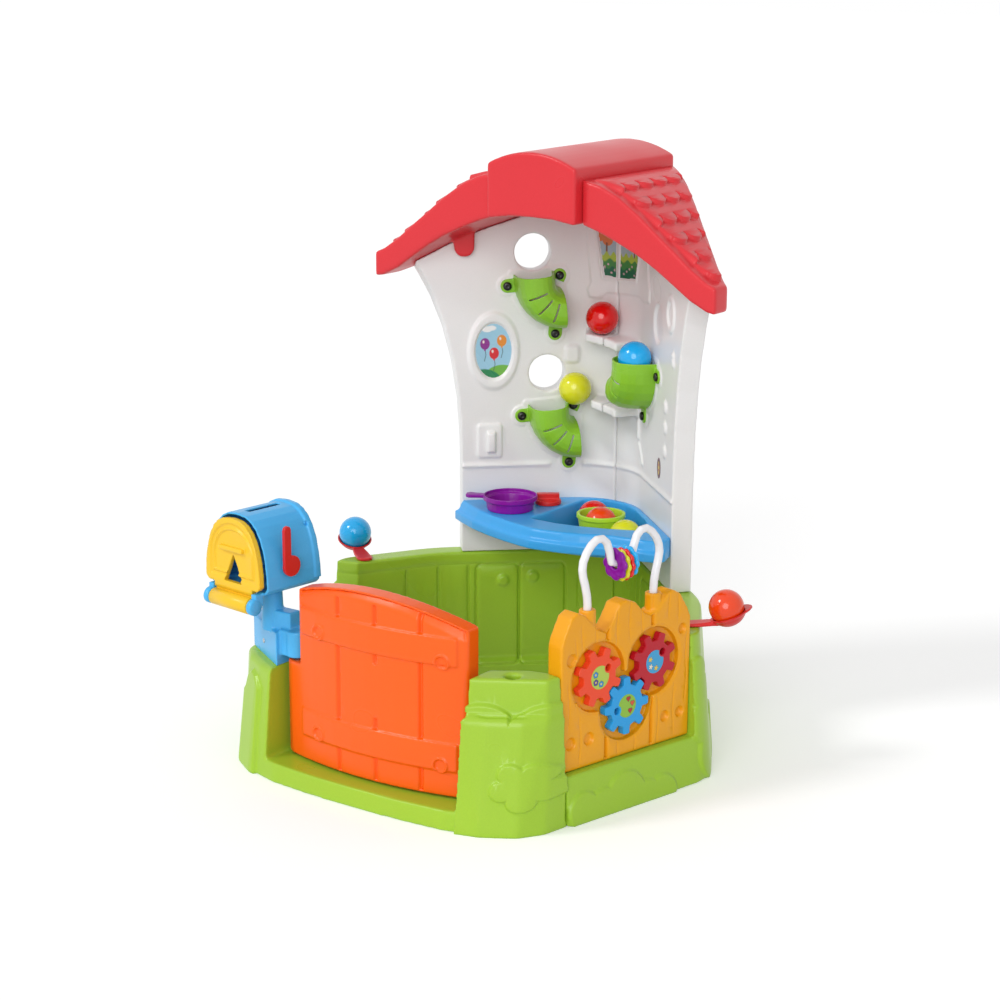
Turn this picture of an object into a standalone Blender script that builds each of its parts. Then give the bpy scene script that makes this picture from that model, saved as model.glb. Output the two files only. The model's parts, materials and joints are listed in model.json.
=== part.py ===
"""Toddler corner playhouse of moulded plastic, modelled in metres with +Z up.

The origin is on the floor under the middle of the doorway sill, +X is to the right
and +Y runs from the doorway to the back corner.
"""
import math

import bmesh
import bpy
from mathutils import Matrix, Vector

# Clearances
SEAT_GAP = 0.0003
RUNNING_GAP = 0.0008
CUT_OVERRUN = 0.02
WELD_DISTANCE = 0.00001

# Play balls
BALL_RADIUS = 0.032

# Gears, and the panel that holds them in the right side wall
PANEL_SILL_HEIGHT = 0.0885
PANEL_START = 0.0295
PANEL_THICKNESS = 0.036
PANEL_FOOT = 0.003
GEAR_TEETH = 8
GEAR_TIP_RADIUS = 0.0525
GEAR_TOOTH = 0.014
GEAR_ROOT_RADIUS = GEAR_TIP_RADIUS - GEAR_TOOTH
GEAR_MESH_GAP = 0.0025
GEAR_SPACING = GEAR_TIP_RADIUS + GEAR_ROOT_RADIUS + GEAR_MESH_GAP
GEAR_THICKNESS = 0.014
GEAR_AXLE_RADIUS = 0.006
GEAR_AXLE_DEPTH = 0.010
GEAR_AXLE_BITE = 0.008
POCKET_MARGIN = 0.010
POCKET_RADIUS = GEAR_TIP_RADIUS + POCKET_MARGIN
POCKET_DEPTH = 0.013
FINGER_HOLE_RADIUS = 0.0065
FINGER_HOLE_OFFSET = 0.024
FINGER_HOLE_ANGLES = {"orange": math.radians(35.0), "red": math.radians(38.0), "blue": math.radians(192.0)}
GEAR_SPREAD = 0.132
GEAR_SIDE_ROOM = 0.026
PANEL_FAR_ROOM = 0.0015
LEFT_GEAR_S = PANEL_START + POCKET_RADIUS + GEAR_SIDE_ROOM
RIGHT_GEAR_S = LEFT_GEAR_S + GEAR_SPREAD
PANEL_END = RIGHT_GEAR_S + POCKET_RADIUS + GEAR_SIDE_ROOM + PANEL_FAR_ROOM
PANEL_LENGTH = PANEL_END - PANEL_START
GEAR_SILL_ROOM = 0.02477
PANEL_BROW = 0.062
PANEL_BOTTOM = PANEL_SILL_HEIGHT + PANEL_FOOT
LOWER_GEAR_Z = PANEL_BOTTOM + POCKET_RADIUS + GEAR_SILL_ROOM
UPPER_GEAR_Z = LOWER_GEAR_Z + math.sqrt(GEAR_SPACING ** 2 - (GEAR_SPREAD / 2) ** 2)
PANEL_PEAK = UPPER_GEAR_Z + POCKET_RADIUS + PANEL_BROW
PANEL_HEIGHT = PANEL_PEAK - PANEL_BOTTOM

# Plan of the base: the side walls start at the column corner and end just past the panel, and
# the rear walls bend in from there and are tangent to the rounded back corner
DOORWAY_HALF = 0.214
COLUMN_WIDTH = 0.115
COLUMN_CORNER_X = DOORWAY_HALF + COLUMN_WIDTH
COLUMN_CORNER_Y = 0.054
SIDE_ANGLE = math.radians(77.0)
BEND_ANGLE = math.radians(60.0)
REAR_ANGLE = math.radians(43.0)
BACK_RADIUS = 0.168
SIDE_CORNER_RADIUS = 0.056
INNER_CORNER_RADIUS = 0.008
SIDE_END_LENGTH = 0.002
SIDE_LENGTH = PANEL_END + SIDE_END_LENGTH
CORNER_X = COLUMN_CORNER_X + SIDE_LENGTH * math.cos(SIDE_ANGLE) - SIDE_CORNER_RADIUS * math.sin(SIDE_ANGLE)
CORNER_Y = COLUMN_CORNER_Y + SIDE_LENGTH * math.sin(SIDE_ANGLE) + SIDE_CORNER_RADIUS * math.cos(SIDE_ANGLE)
REAR_STRAIGHT = 0.13253
REAR_BEND_RADIUS = 0.268
BEND_REACH = SIDE_CORNER_RADIUS - REAR_BEND_RADIUS
BEND_X = CORNER_X + BEND_REACH * math.sin(BEND_ANGLE) - REAR_STRAIGHT * math.cos(BEND_ANGLE)
BEND_Y = CORNER_Y + BEND_REACH * math.cos(BEND_ANGLE) + REAR_STRAIGHT * math.sin(BEND_ANGLE)
BACK_DEPTH = (REAR_BEND_RADIUS - BACK_RADIUS) / math.cos(REAR_ANGLE)
BACK_CENTRE_Y = BEND_Y + BEND_X * math.tan(REAR_ANGLE) + BACK_DEPTH
BASE_WALL = 0.048
BASE_FLARE = 0.022
TALL_WALL_HEIGHT = 0.275
LOW_WALL_DROP = 0.063
LOW_WALL_HEIGHT = TALL_WALL_HEIGHT - LOW_WALL_DROP
FOOT_DEPTH = 0.018
FOOT_HEIGHT = 0.045

# Doorway and columns
SILL_HEIGHT = 0.036
SILL_FRONT = 0.071
COLUMN_DROP = 0.010
COLUMN_HEIGHT = TALL_WALL_HEIGHT - COLUMN_DROP
COLUMN_DEPTH = 0.062
COLUMN_END_DEPTH = 0.0345
COLUMN_HOLE_RADIUS = 0.0135
COLUMN_HOLE_DEPTH = 0.045
COLUMN_HOLE_SHARES = (0.81, 0.72)

# Bracket that caps the left column, with the door's knuckle and the mailbox post
BRACKET_WALL = 0.005
BRACKET_DROP = 0.002
BRACKET_HEIGHT = 0.0615
BRACKET_ROOF = 0.018
BRACKET_TOP = COLUMN_HEIGHT - BRACKET_DROP
BRACKET_FOOT = BRACKET_TOP - BRACKET_HEIGHT
COLUMN_NECK_HEIGHT = BRACKET_TOP - BRACKET_ROOF
KNUCKLE_RADIUS = 0.022
KNUCKLE_RISE = 0.005
KNUCKLE_HEIGHT = 0.0475
KNUCKLE_TOP = BRACKET_TOP + KNUCKLE_RISE
KNUCKLE_BOTTOM = KNUCKLE_TOP - KNUCKLE_HEIGHT
POST_INSET = 0.035
POST_X = DOORWAY_HALF + POST_INSET
POST_Y = 0.017
POST_RADIUS = 0.021
POST_HEIGHT = 0.080

# Counter with its sink, the cup and balls in it, and the pan and knob beside it
CUP_RADIUS = 0.0475
CUP_HEIGHT = 0.061
CUP_WALL = 0.003
CUP_FLOOR = 0.007
CUP_X = 0.0465
CUP_BEHIND = 0.06099
BESIDE_CUP = CUP_RADIUS + BALL_RADIUS + SEAT_GAP
RED_BALL_ANGLE = math.radians(133.07)
LIME_BALL_ANGLE = math.radians(-20.93)
COUNTER_RISE = 0.108
COUNTER_TOP = TALL_WALL_HEIGHT + COUNTER_RISE
COUNTER_THICKNESS = 0.038
COUNTER_LIP = 0.012
COUNTER_RIM = 0.082
COUNTER_HALF = CUP_X + CUP_RADIUS + 2 * BALL_RADIUS + COUNTER_RIM
SINK_DEPTH = 0.056
SINK_DRAFT = 0.005
SINK_WALL = 0.004
SINK_BACK_MARGIN = 0.012
PAN_RADIUS = 0.053
PAN_HEIGHT = 0.029
PAN_WALL = 0.003
PAN_HANDLE = 0.036
PAN_HANDLE_ANGLE = math.radians(206.0)
PAN_INSET = 0.117
PAN_X = PAN_INSET - COUNTER_HALF
PAN_FORWARD = 0.00301
KNOB_RADIUS = 0.026
KNOB_HEIGHT = 0.010
KNOB_GRIP_HEIGHT = 0.011
KNOB_GRIP_WIDTH = 0.015
KNOB_STEM_RADIUS = 0.006
KNOB_STEM_DEPTH = 0.012
KNOB_BESIDE_PAN = 0.035
KNOB_X = PAN_X + KNOB_BESIDE_PAN
KNOB_BEHIND = 0.07599

# White wall above the base
WALL_SEAT_MARGIN = 0.002
WALL_BACK_MARGIN = 0.005
WALL_END_MARGIN = 0.0031
WALL_FACE_RADIUS = BACK_RADIUS - BASE_WALL + WALL_SEAT_MARGIN
WALL_THICKNESS = BACK_RADIUS - WALL_BACK_MARGIN - WALL_FACE_RADIUS
WALL_REACH = COUNTER_HALF + WALL_END_MARGIN - WALL_FACE_RADIUS * math.sin(REAR_ANGLE)
WALL_STRAIGHT = WALL_REACH / math.cos(REAR_ANGLE)
COUNTER_END_DEPTH = 0.003
COUNTER_BULGE = 0.096
WALL_LINE_Y = BACK_CENTRE_Y + WALL_FACE_RADIUS / math.cos(REAR_ANGLE)
COUNTER_END_Y = WALL_LINE_Y - COUNTER_HALF * math.tan(REAR_ANGLE) - COUNTER_END_DEPTH
COUNTER_FRONT_Y = COUNTER_END_Y - COUNTER_BULGE
BELT_RISE = 0.0655
BELT_HEIGHT = 0.0045
BELT_BOTTOM = COUNTER_TOP + BELT_RISE
BELT_TOP = BELT_BOTTOM + BELT_HEIGHT
BELT_DEPTH = 0.004
BELT_CHAMFER = 0.003
WALL_FLARE = 0.101
WALL_FLARE_RISE = 0.002
WALL_FLARE_START = BELT_TOP + WALL_FLARE_RISE
SHELF_DEPTH = 0.052
SHELF_THICKNESS = 0.017
SHELF_FALL = 0.006
SHELF_ANGLE = math.radians(30.0)
SHELF_SEAM_ANGLE = math.radians(0.6)
LOWER_SHELF_RISE = 0.132
SHELF_SPACING = 0.131
LOWER_SHELF_Z = BELT_TOP + LOWER_SHELF_RISE
UPPER_SHELF_Z = LOWER_SHELF_Z + SHELF_SPACING

# Ball funnels with their screw caps, and the holes in the wall over the left ones
FUNNEL_RADIUS = 0.090
FUNNEL_DEPTH = 0.077
FUNNEL_PIVOT_RADIUS = 0.012
FUNNEL_INLET = 0.021
FUNNEL_WALL = 0.003
FUNNEL_TILT = math.radians(-5.0)
FUNNEL_ARCH_SHARES = (-1.0, -0.985, -0.94, -0.84, -0.68, -0.46, -0.2, 0.0, 0.2, 0.46, 0.68, 0.84, 0.94, 0.985, 1.0)
FUNNEL_FULLNESS = 2.8
FUNNEL_SLOT_ANGLES = tuple(math.radians(a) for a in (-17.0, -43.0, -68.0))
FUNNEL_SLOT_WIDTH = 0.003
FUNNEL_TAB_ANGLES = tuple(math.radians(a) for a in (180.0, -60.0, 100.0))
FUNNEL_EAR_RADIUS = 0.0135
FUNNEL_EAR_THICKNESS = 0.004
CAP_RADIUS = 0.0085
CAP_HEIGHT = 0.005
UPPER_FUNNEL_ALONG = 0.027
UPPER_FUNNEL_RISE = 0.102
LOWER_FUNNEL_ALONG = -0.003
LOWER_FUNNEL_DROP = 0.025
RIGHT_FUNNEL_ALONG = 0.006
RIGHT_FUNNEL_DROP = 0.040
UPPER_FUNNEL_Z = UPPER_SHELF_Z + UPPER_FUNNEL_RISE
LOWER_FUNNEL_Z = LOWER_SHELF_Z - LOWER_FUNNEL_DROP
RIGHT_FUNNEL_Z = UPPER_SHELF_Z - RIGHT_FUNNEL_DROP
FUNNELS = (("upper_funnel", -1, UPPER_FUNNEL_ALONG, UPPER_FUNNEL_Z),
           ("lower_funnel", -1, LOWER_FUNNEL_ALONG, LOWER_FUNNEL_Z),
           ("right_funnel", 1, RIGHT_FUNNEL_ALONG, RIGHT_FUNNEL_Z))
LOWER_FUNNEL_BALL = (-0.002, 0.0493, 0.0322)
RIGHT_FUNNEL_BALL = (0.0527, 0.024, 0.0349)
WALL_HOLE_RADIUS = 0.036
WALL_HOLE_SHIFT = 0.053
UPPER_HOLE_RISE = 0.056
LOWER_HOLE_RISE = 0.075

# Roof
ROOF_RISE = 0.258
ROOF_UNDERSIDE = UPPER_SHELF_Z + ROOF_RISE
ROOF_HALF_SPAN = 0.380
ROOF_FRONT_REACH = 0.158
ROOF_BACK_REACH = 0.160
ROOF_FRONT_Y = BACK_CENTRE_Y - ROOF_FRONT_REACH
ROOF_BACK_Y = BACK_CENTRE_Y + ROOF_BACK_REACH
ROOF_TIP_DEPTH = 0.045
ROOF_DROP = 0.145
ROOF_THICKNESS = 0.076
ROOF_TAPER = 0.028
ROOF_CREST = ROOF_UNDERSIDE + ROOF_THICKNESS
ROOF_CREST_DROP = ROOF_DROP + ROOF_TAPER
RIDGE_HALF = 0.098
RIDGE_OVERHANG = 0.022
RIDGE_RISE = 0.042
RIDGE_FRONT_Y = ROOF_FRONT_Y - RIDGE_OVERHANG
RIDGE_TOP = ROOF_CREST + RIDGE_RISE
RIDGE_ARCH = 0.025
LUG_RADIUS = 0.020
LUG_DROP = 0.019
LUG_THICKNESS = 0.016
LUG_ALONG = 0.215

# Door
DOOR_HINGE_GAP = 0.007
DOOR_LATCH_GAP = 0.013
DOOR_FOOT_GAP = 0.004
DOOR_LEFT = DOORWAY_HALF - DOOR_HINGE_GAP
DOOR_RIGHT = DOORWAY_HALF - DOOR_LATCH_GAP
DOOR_BOTTOM = SILL_HEIGHT + DOOR_FOOT_GAP
DOOR_THICKNESS = 0.038
DOOR_BULGE = 0.032
DOOR_MIDDLE_Y = -0.013
DOOR_RISE = 0.116
DOOR_CREST = COLUMN_HEIGHT + DOOR_RISE
DOOR_CREST_DROP = 0.040
DOOR_PIN_INSET = 0.019
DOOR_PIN_X = DOOR_LEFT - DOOR_PIN_INSET
DOOR_PIN_RADIUS = 0.006
DOOR_PIN_REACH = 0.020
NOTCH_WIDTH = 0.045
NOTCH_GAP = 0.0055
DOOR_NOTCH_X = DOOR_LEFT - NOTCH_WIDTH
DOOR_NOTCH_Z = KNUCKLE_BOTTOM - NOTCH_GAP
BATTEN_DEPTH = 0.005
BATTEN_HEIGHT = 0.050
BATTEN_MARGIN = 0.016
UPPER_BATTEN_DROP = 0.080
LOWER_BATTEN_RISE = 0.072
UPPER_BATTEN_Z = DOOR_CREST - UPPER_BATTEN_DROP
LOWER_BATTEN_Z = DOOR_BOTTOM + LOWER_BATTEN_RISE

# Mailbox on its post
MAILBOX_SHIFT = 0.021
MAILBOX_X = POST_X + MAILBOX_SHIFT
MAILBOX_Y = 0.020
MAILBOX_TURN = math.radians(-7.25)
MAILBOX_HALF = 0.080
MAILBOX_LENGTH = 0.124
MAILBOX_BOTTOM = BRACKET_TOP + POST_HEIGHT
MAILBOX_HEIGHT = 0.138
MAILBOX_WALL = 0.004
MAILBOX_SLOT_LENGTH = 0.075
MAILBOX_SLOT_WIDTH = 0.012
FLAP_THICKNESS = 0.010
FLAP_MARGIN = 0.008
HINGE_DROP = 0.021
HINGE_Z = MAILBOX_BOTTOM - HINGE_DROP
HINGE_RADIUS = 0.0105
HINGE_HALF = 0.050
HINGE_END = 0.014
HINGE_PIN_RADIUS = 0.004
TRIANGLE_HALF = 0.026
TRIANGLE_HEIGHT = 0.056
TRIANGLE_RISE = 0.009
TRIANGLE_Z = MAILBOX_BOTTOM + TRIANGLE_RISE
FLAG_RISE = 0.047
FLAG_KNOB_Z = MAILBOX_BOTTOM + FLAG_RISE
FLAG_KNOB_Y = 0.010
FLAG_KNOB_RADIUS = 0.019
FLAG_REACH = 0.075
FLAG_ARM_WIDTH = 0.016
FLAG_THICKNESS = 0.007
FLAG_BOSS_RADIUS = 0.012
FLAG_BOSS_HEIGHT = 0.012

# Bead rail
RAIL_RADIUS = 0.0075
RAIL_LEG = 0.079
RAIL_SHIFT = 0.0005
RAIL_SOCKET_RADIUS = 0.015
RAIL_SOCKET_DROP = 0.0035
RAIL_SOCKET_HEIGHT = 0.036
RAIL_SOCKET_TOP = PANEL_PEAK - RAIL_SOCKET_DROP
RAIL_SOCKET_FOOT = RAIL_SOCKET_TOP - RAIL_SOCKET_HEIGHT
RAIL_RISE = 0.118
RAIL_CREST = RAIL_SOCKET_TOP + RAIL_RISE
RAIL_BELLY = 0.013
BEAD_RADIUS = 0.029
BEAD_THICKNESS = 0.007
BEAD_PITCH = 0.0095
BEAD_SAG = 0.0034
BEAD_SAG_SHARE = 0.65
BEAD_FINISHES = ("pan_purple", "ball_yellow", "ball_red", "ball_blue")

# Ball spoons on the side corners
SPOON_ANGLE = math.radians(37.28)
SPOON_SEAT_OUT = 0.00957
SPOON_SEAT_BEHIND = 0.02804
SPOON_SEAT_RADIUS = 0.015
SPOON_THICKNESS = 0.005
SPOON_REACH = 0.07612
SPOON_FLOOR = 0.0014
SPOON_RIM_HEIGHT = 0.015
SPOON_COLLAR = 0.0325
SPOON_CUP_WALL = 0.003
SPOON_TIP = 0.017
SPOON_SCREW_RADIUS = 0.005

# Screw in the bracket's front
SCREW_HEAD_RADIUS = 0.0045
SCREW_HEAD_HEIGHT = 0.002

# Outline shares: half of the base front, from the middle of the sill round to the inside,
# as shares of the column corner's X and of the sill's front reach
FRONT_GROUND_SHARES = ((0.0, -1.0), (0.30, -0.98), (0.58, -0.87), (0.78, -0.61), (0.94, -0.15), (1.021, 0.42),
                       (1.052, 1.13))
FRONT_TOP_SHARES = ((0.0, -0.70), (0.30, -0.63), (0.62, -0.32), (0.76, 0.08), (0.91, 0.50), (1.0, 0.76),
                    (1.020, 1.16))
FRONT_INNER_SHARES = ((0.918, 1.30), (0.815, 1.15), (0.65, 0.62), (0.36, 0.169), (0.0, 0.169))
FRONT_LEVEL_SHARES = ((0.0, 0.0), (0.735, 0.52), (0.77, 0.86), (1.0, 1.0))
# Roof underside and crest: share of the half span and share of the drop
ROOF_UNDERSIDE_SHARES = ((0.0, 0.0), (0.13, 0.01), (0.26, 0.06), (0.35, 0.13), (0.45, 0.235), (0.57, 0.375),
                         (0.68, 0.54), (0.77, 0.70), (0.86, 0.86), (0.95, 0.975), (1.0, 1.0))
ROOF_CREST_SHARES = ((0.0, 0.0), (0.26, 0.02), (0.35, 0.06), (0.45, 0.155), (0.57, 0.33),
                     (0.68, 0.52), (0.77, 0.67), (0.86, 0.83), (0.95, 0.96), (1.0, 1.0))
# Counter front edge: share of its half width and share of its depth from end to middle
COUNTER_FRONT_SHARES = ((-1.0, 0.0), (-0.88, 0.20), (-0.70, 0.46), (-0.50, 0.68), (-0.32, 0.83), (-0.12, 0.96),
                        (-0.02, 1.0), (0.10, 0.97), (0.24, 0.91), (0.38, 0.80), (0.48, 0.66), (0.58, 0.56),
                        (0.72, 0.51), (0.87, 0.48), (0.96, 0.42), (1.0, 0.25))
# Sink outline in front: share of the counter's half width and of its depth
SINK_FRONT_SHARES = ((-0.217, 0.365), (0.033, 0.379), (0.246, 0.286), (0.454, 0.125), (0.646, -0.083),
                     (0.800, -0.125))
# Sink outline at the back: share of the run along the white wall
SINK_BACK_SHARES = (0.54, 0.45, 0.30, 0.15, 0.0)
# Heights of the wall's upper levels between the belt and the roof
WALL_LEVEL_SHARES = (0.10, 0.28, 0.46, 0.62, 0.78, 0.90, 1.0)
# Half of the bead rail: share of the leg distance, share of the rise and share of the belly
RAIL_SHARES = ((1.0, 0.0, 0.0), (1.0, 0.27, 0.0), (1.0, 0.36, 0.08), (1.0, 0.50, 0.45), (1.0, 0.60, 0.82),
               (1.0, 0.69, 1.0), (1.0, 0.78, 0.85), (1.0, 0.87, 0.30), (0.91, 0.95, 0.0), (0.75, 1.0, 0.0),
               (0.58, 0.995, 0.0), (0.45, 0.94, 0.0), (0.355, 0.82, 0.0), (0.30, 0.700, 0.0), (0.12, 0.672, 0.0))
RAIL_DIP_SHARE = 0.668
# Panel top: share of the panel's length and share of the peak's height over the sill
PANEL_TOP_SHARES = ((0.0, 0.80), (0.02, 0.86), (0.075, 0.975), (0.12, 1.0), (0.17, 0.975), (0.27, 0.86),
                    (0.335, 0.825), (0.38, 0.88), (0.44, 0.985), (0.50, 1.0), (0.56, 0.975), (0.63, 0.89),
                    (0.68, 0.86), (0.74, 0.885), (0.81, 0.97), (0.86, 0.99), (0.915, 0.955), (0.975, 0.85),
                    (1.0, 0.79))

FINISHES = {
    "leaf_green": ((0.353, 0.565, 0.055), 0.38),
    "wall_white": ((0.86, 0.86, 0.86), 0.35),
    "roof_red": ((0.68, 0.045, 0.065), 0.33),
    "counter_blue": ((0.045, 0.30, 0.72), 0.35),
    "door_orange": ((0.95, 0.15, 0.012), 0.35),
    "mail_blue": ((0.08, 0.42, 0.80), 0.33),
    "flap_yellow": ((0.86, 0.55, 0.045), 0.35),
    "flag_red": ((0.65, 0.04, 0.04), 0.35),
    "panel_yellow": ((0.90, 0.42, 0.02), 0.38),
    "gear_orange": ((0.88, 0.09, 0.04), 0.35),
    "gear_red": ((0.50, 0.02, 0.04), 0.35),
    "gear_blue": ((0.04, 0.36, 0.78), 0.35),
    "rail_white": ((0.85, 0.85, 0.87), 0.25),
    "funnel_green": ((0.20, 0.52, 0.035), 0.35),
    "cap_black": ((0.02, 0.02, 0.02), 0.40),
    "pan_purple": ((0.26, 0.025, 0.33), 0.35),
    "cup_lime": ((0.45, 0.72, 0.06), 0.30),
    "ball_red": ((0.75, 0.02, 0.02), 0.15),
    "ball_yellow": ((0.70, 0.72, 0.04), 0.15),
    "ball_blue": ((0.02, 0.36, 0.78), 0.15),
    "ball_orange": ((0.85, 0.12, 0.02), 0.15),
    "steel": ((0.55, 0.55, 0.55), 0.30),
}


def remove_old_objects():
    for old in list(bpy.data.objects):
        bpy.data.objects.remove(old, do_unlink=True)


def new_collection(name):
    collection = bpy.data.collections.new(name)
    bpy.context.scene.collection.children.link(collection)
    return collection


def material(finish):
    existing = bpy.data.materials.get(finish)
    if existing:
        return existing
    colour, roughness = FINISHES[finish]
    made = bpy.data.materials.new(finish)
    made.use_nodes = True
    shader = made.node_tree.nodes["Principled BSDF"]
    shader.inputs["Base Color"].default_value = (*colour, 1.0)
    shader.inputs["Roughness"].default_value = roughness
    shader.inputs["Metallic"].default_value = 1.0 if finish == "steel" else 0.0
    made.diffuse_color = (*colour, 1.0)
    return made


def mesh_object(name, mesh, finish):
    thing = bpy.data.objects.new(name, mesh)
    if finish is None:
        TOOLS.objects.link(thing)
        thing.hide_render = True
        thing.display_type = "WIRE"
    else:
        PARTS.objects.link(thing)
        mesh.materials.clear()
        mesh.materials.append(material(finish))
        mesh.shade_smooth()
        mesh.set_sharp_from_angle(angle=math.radians(35.0))
    return thing


def from_bmesh(name, bm, finish, matrix=None):
    bmesh.ops.recalc_face_normals(bm, faces=bm.faces)
    if matrix is not None:
        bmesh.ops.transform(bm, matrix=matrix, verts=bm.verts)
        if matrix.determinant() < 0.0:
            bmesh.ops.reverse_faces(bm, faces=bm.faces)
    mesh = bpy.data.meshes.new(name)
    bm.to_mesh(mesh)
    bm.free()
    return mesh_object(name, mesh, finish)


def slab(name, front, back, finish, matrix=None):
    """Closed solid between two grids of points with the same rows and columns."""
    bm = bmesh.new()
    rows, columns = len(front), len(front[0])
    grids = [[[bm.verts.new(point) for point in row] for row in grid] for grid in (front, back)]
    for grid in grids:
        for i in range(rows - 1):
            for j in range(columns - 1):
                bm.faces.new((grid[i][j], grid[i][j + 1], grid[i + 1][j + 1], grid[i + 1][j]))
    border = [(0, j) for j in range(columns)]
    border += [(i, columns - 1) for i in range(1, rows)]
    border += [(rows - 1, j) for j in range(columns - 2, -1, -1)]
    border += [(i, 0) for i in range(rows - 2, 0, -1)]
    for (i, j), (k, m) in zip(border, border[1:] + border[:1]):
        bm.faces.new((grids[0][i][j], grids[0][k][m], grids[1][k][m], grids[1][i][j]))
    return from_bmesh(name, bm, finish, matrix)


def loft(name, rings, finish, matrix=None):
    """Closed solid through rings of points, capped at the first and the last ring."""
    bm = bmesh.new()
    loops = [[bm.verts.new(point) for point in ring] for ring in rings]
    count = len(loops[0])
    for lower, upper in zip(loops, loops[1:]):
        for k in range(count):
            m = (k + 1) % count
            bm.faces.new((lower[k], lower[m], upper[m], upper[k]))
    bm.faces.new(loops[0])
    bm.faces.new(loops[-1])
    return from_bmesh(name, bm, finish, matrix)


def cylinder(name, radius, low, high, finish, matrix=None, top_radius=None, segments=24):
    """Cylinder or cone along the local Z axis, from low to high."""
    bm = bmesh.new()
    middle = Matrix.Translation((0.0, 0.0, (low + high) / 2))
    bmesh.ops.create_cone(bm, cap_ends=True, segments=segments, radius1=radius,
                          radius2=radius if top_radius is None else top_radius,
                          depth=high - low, matrix=middle)
    return from_bmesh(name, bm, finish, matrix)


def box(name, low, high, finish, matrix=None):
    bm = bmesh.new()
    size = [b - a for a, b in zip(low, high)]
    centre = [(a + b) / 2 for a, b in zip(low, high)]
    place = Matrix.Translation(centre) @ Matrix.Diagonal((*size, 1.0))
    bmesh.ops.create_cube(bm, size=1.0, matrix=place)
    return from_bmesh(name, bm, finish, matrix)


def curve_to_mesh(curve, finish):
    """A mesh in the place of a curve object, with its loose caps welded."""
    depsgraph = bpy.context.evaluated_depsgraph_get()
    mesh = bpy.data.meshes.new_from_object(curve.evaluated_get(depsgraph))
    matrix = curve.matrix_world.copy()
    name = curve.name
    bpy.data.objects.remove(curve, do_unlink=True)
    bm = bmesh.new()
    bm.from_mesh(mesh)
    bpy.data.meshes.remove(mesh)
    bmesh.ops.remove_doubles(bm, verts=bm.verts, dist=WELD_DISTANCE)
    return from_bmesh(name, bm, finish, matrix)


def plate(name, outline, thickness, finish, matrix=None, edge=0.0):
    """Flat outline in the local XY plane, thickened evenly to both sides of it."""
    data = bpy.data.curves.new(name, "CURVE")
    data.dimensions = "2D"
    data.fill_mode = "BOTH"
    data.extrude = thickness / 2 - edge
    data.bevel_depth = edge
    data.bevel_resolution = 1
    data.offset = -edge
    spline = data.splines.new("POLY")
    spline.points.add(len(outline) - 1)
    for point, (x, y) in zip(spline.points, outline):
        point.co = (x, y, 0.0, 1.0)
    spline.use_cyclic_u = True
    curve = bpy.data.objects.new(name, data)
    TOOLS.objects.link(curve)
    curve.matrix_world = Matrix.Identity(4) if matrix is None else matrix
    bpy.context.view_layer.update()
    return curve_to_mesh(curve, finish)


def tube(name, points, radius, finish, matrix=None):
    data = bpy.data.curves.new(name, "CURVE")
    data.dimensions = "3D"
    data.bevel_depth = radius
    data.bevel_resolution = 2
    data.use_fill_caps = True
    spline = data.splines.new("POLY")
    spline.points.add(len(points) - 1)
    for point, place in zip(spline.points, points):
        point.co = (*place, 1.0)
    curve = bpy.data.objects.new(name, data)
    TOOLS.objects.link(curve)
    curve.matrix_world = Matrix.Identity(4) if matrix is None else matrix
    bpy.context.view_layer.update()
    return curve_to_mesh(curve, finish)


def turned(name, profile, finish, matrix=None, segments=28):
    """Solid of revolution about the local Z axis; the profile runs from axis to axis."""
    mesh = bpy.data.meshes.new(name)
    points = [(radius, 0.0, height) for radius, height in profile]
    edges = [(k, k + 1) for k in range(len(points) - 1)]
    if profile[0] == profile[-1]:
        points.pop()
        edges[-1] = (len(points) - 1, 0)
    mesh.from_pydata(points, edges, [])
    thing = mesh_object(name, mesh, finish)
    screw = thing.modifiers.new("turn", "SCREW")
    screw.axis = "Z"
    screw.steps = segments
    screw.render_steps = segments
    screw.use_merge_vertices = True
    screw.merge_threshold = WELD_DISTANCE
    if matrix is not None:
        thing.matrix_world = matrix
    return thing


def ball(name, centre, finish):
    bm = bmesh.new()
    bmesh.ops.create_uvsphere(bm, u_segments=18, v_segments=11, radius=BALL_RADIUS)
    thing = from_bmesh(name, bm, finish)
    thing.location = centre
    return thing


def combine(target, tools, operation):
    for tool in tools:
        modifier = target.modifiers.new(operation.lower(), "BOOLEAN")
        modifier.operation = operation
        modifier.solver = "EXACT"
        modifier.object = tool


def cut(target, *tools):
    combine(target, tools, "DIFFERENCE")


def join(target, *tools):
    combine(target, tools, "UNION")


def set_origin(thing, point):
    """Move an object's origin to a point and leave its shape where it is."""
    thing.data.transform(Matrix.Translation(-Vector(point)) @ thing.matrix_world)
    thing.matrix_world = Matrix.Translation(point)


def blend(low, high, share):
    return low + (high - low) * share


def follow(shares, share):
    """Value of a table of share pairs at a given first share."""
    for (a, value_a), (b, value_b) in zip(shares, shares[1:]):
        if share <= b:
            return blend(value_a, value_b, max(0.0, share - a) / (b - a))
    return shares[-1][1]


def frame_matrix(x_axis, y_axis, z_axis, origin):
    matrix = Matrix((x_axis, y_axis, z_axis)).transposed().to_4x4()
    matrix.translation = origin
    return matrix


def mirrored(points, side):
    return [(side * point[0], *point[1:]) for point in points]


def side_normal():
    return Vector((math.sin(SIDE_ANGLE), -math.cos(SIDE_ANGLE), 0.0))


def side_direction():
    return Vector((math.cos(SIDE_ANGLE), math.sin(SIDE_ANGLE), 0.0))


def side_point(along, outward):
    corner = Vector((COLUMN_CORNER_X, COLUMN_CORNER_Y, 0.0))
    return corner + side_direction() * along + side_normal() * outward


def rear_normal():
    return Vector((math.sin(REAR_ANGLE), math.cos(REAR_ANGLE), 0.0))


def rear_direction():
    """Direction of the right rear wall, away from the back corner."""
    return Vector((math.cos(REAR_ANGLE), -math.sin(REAR_ANGLE), 0.0))


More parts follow.
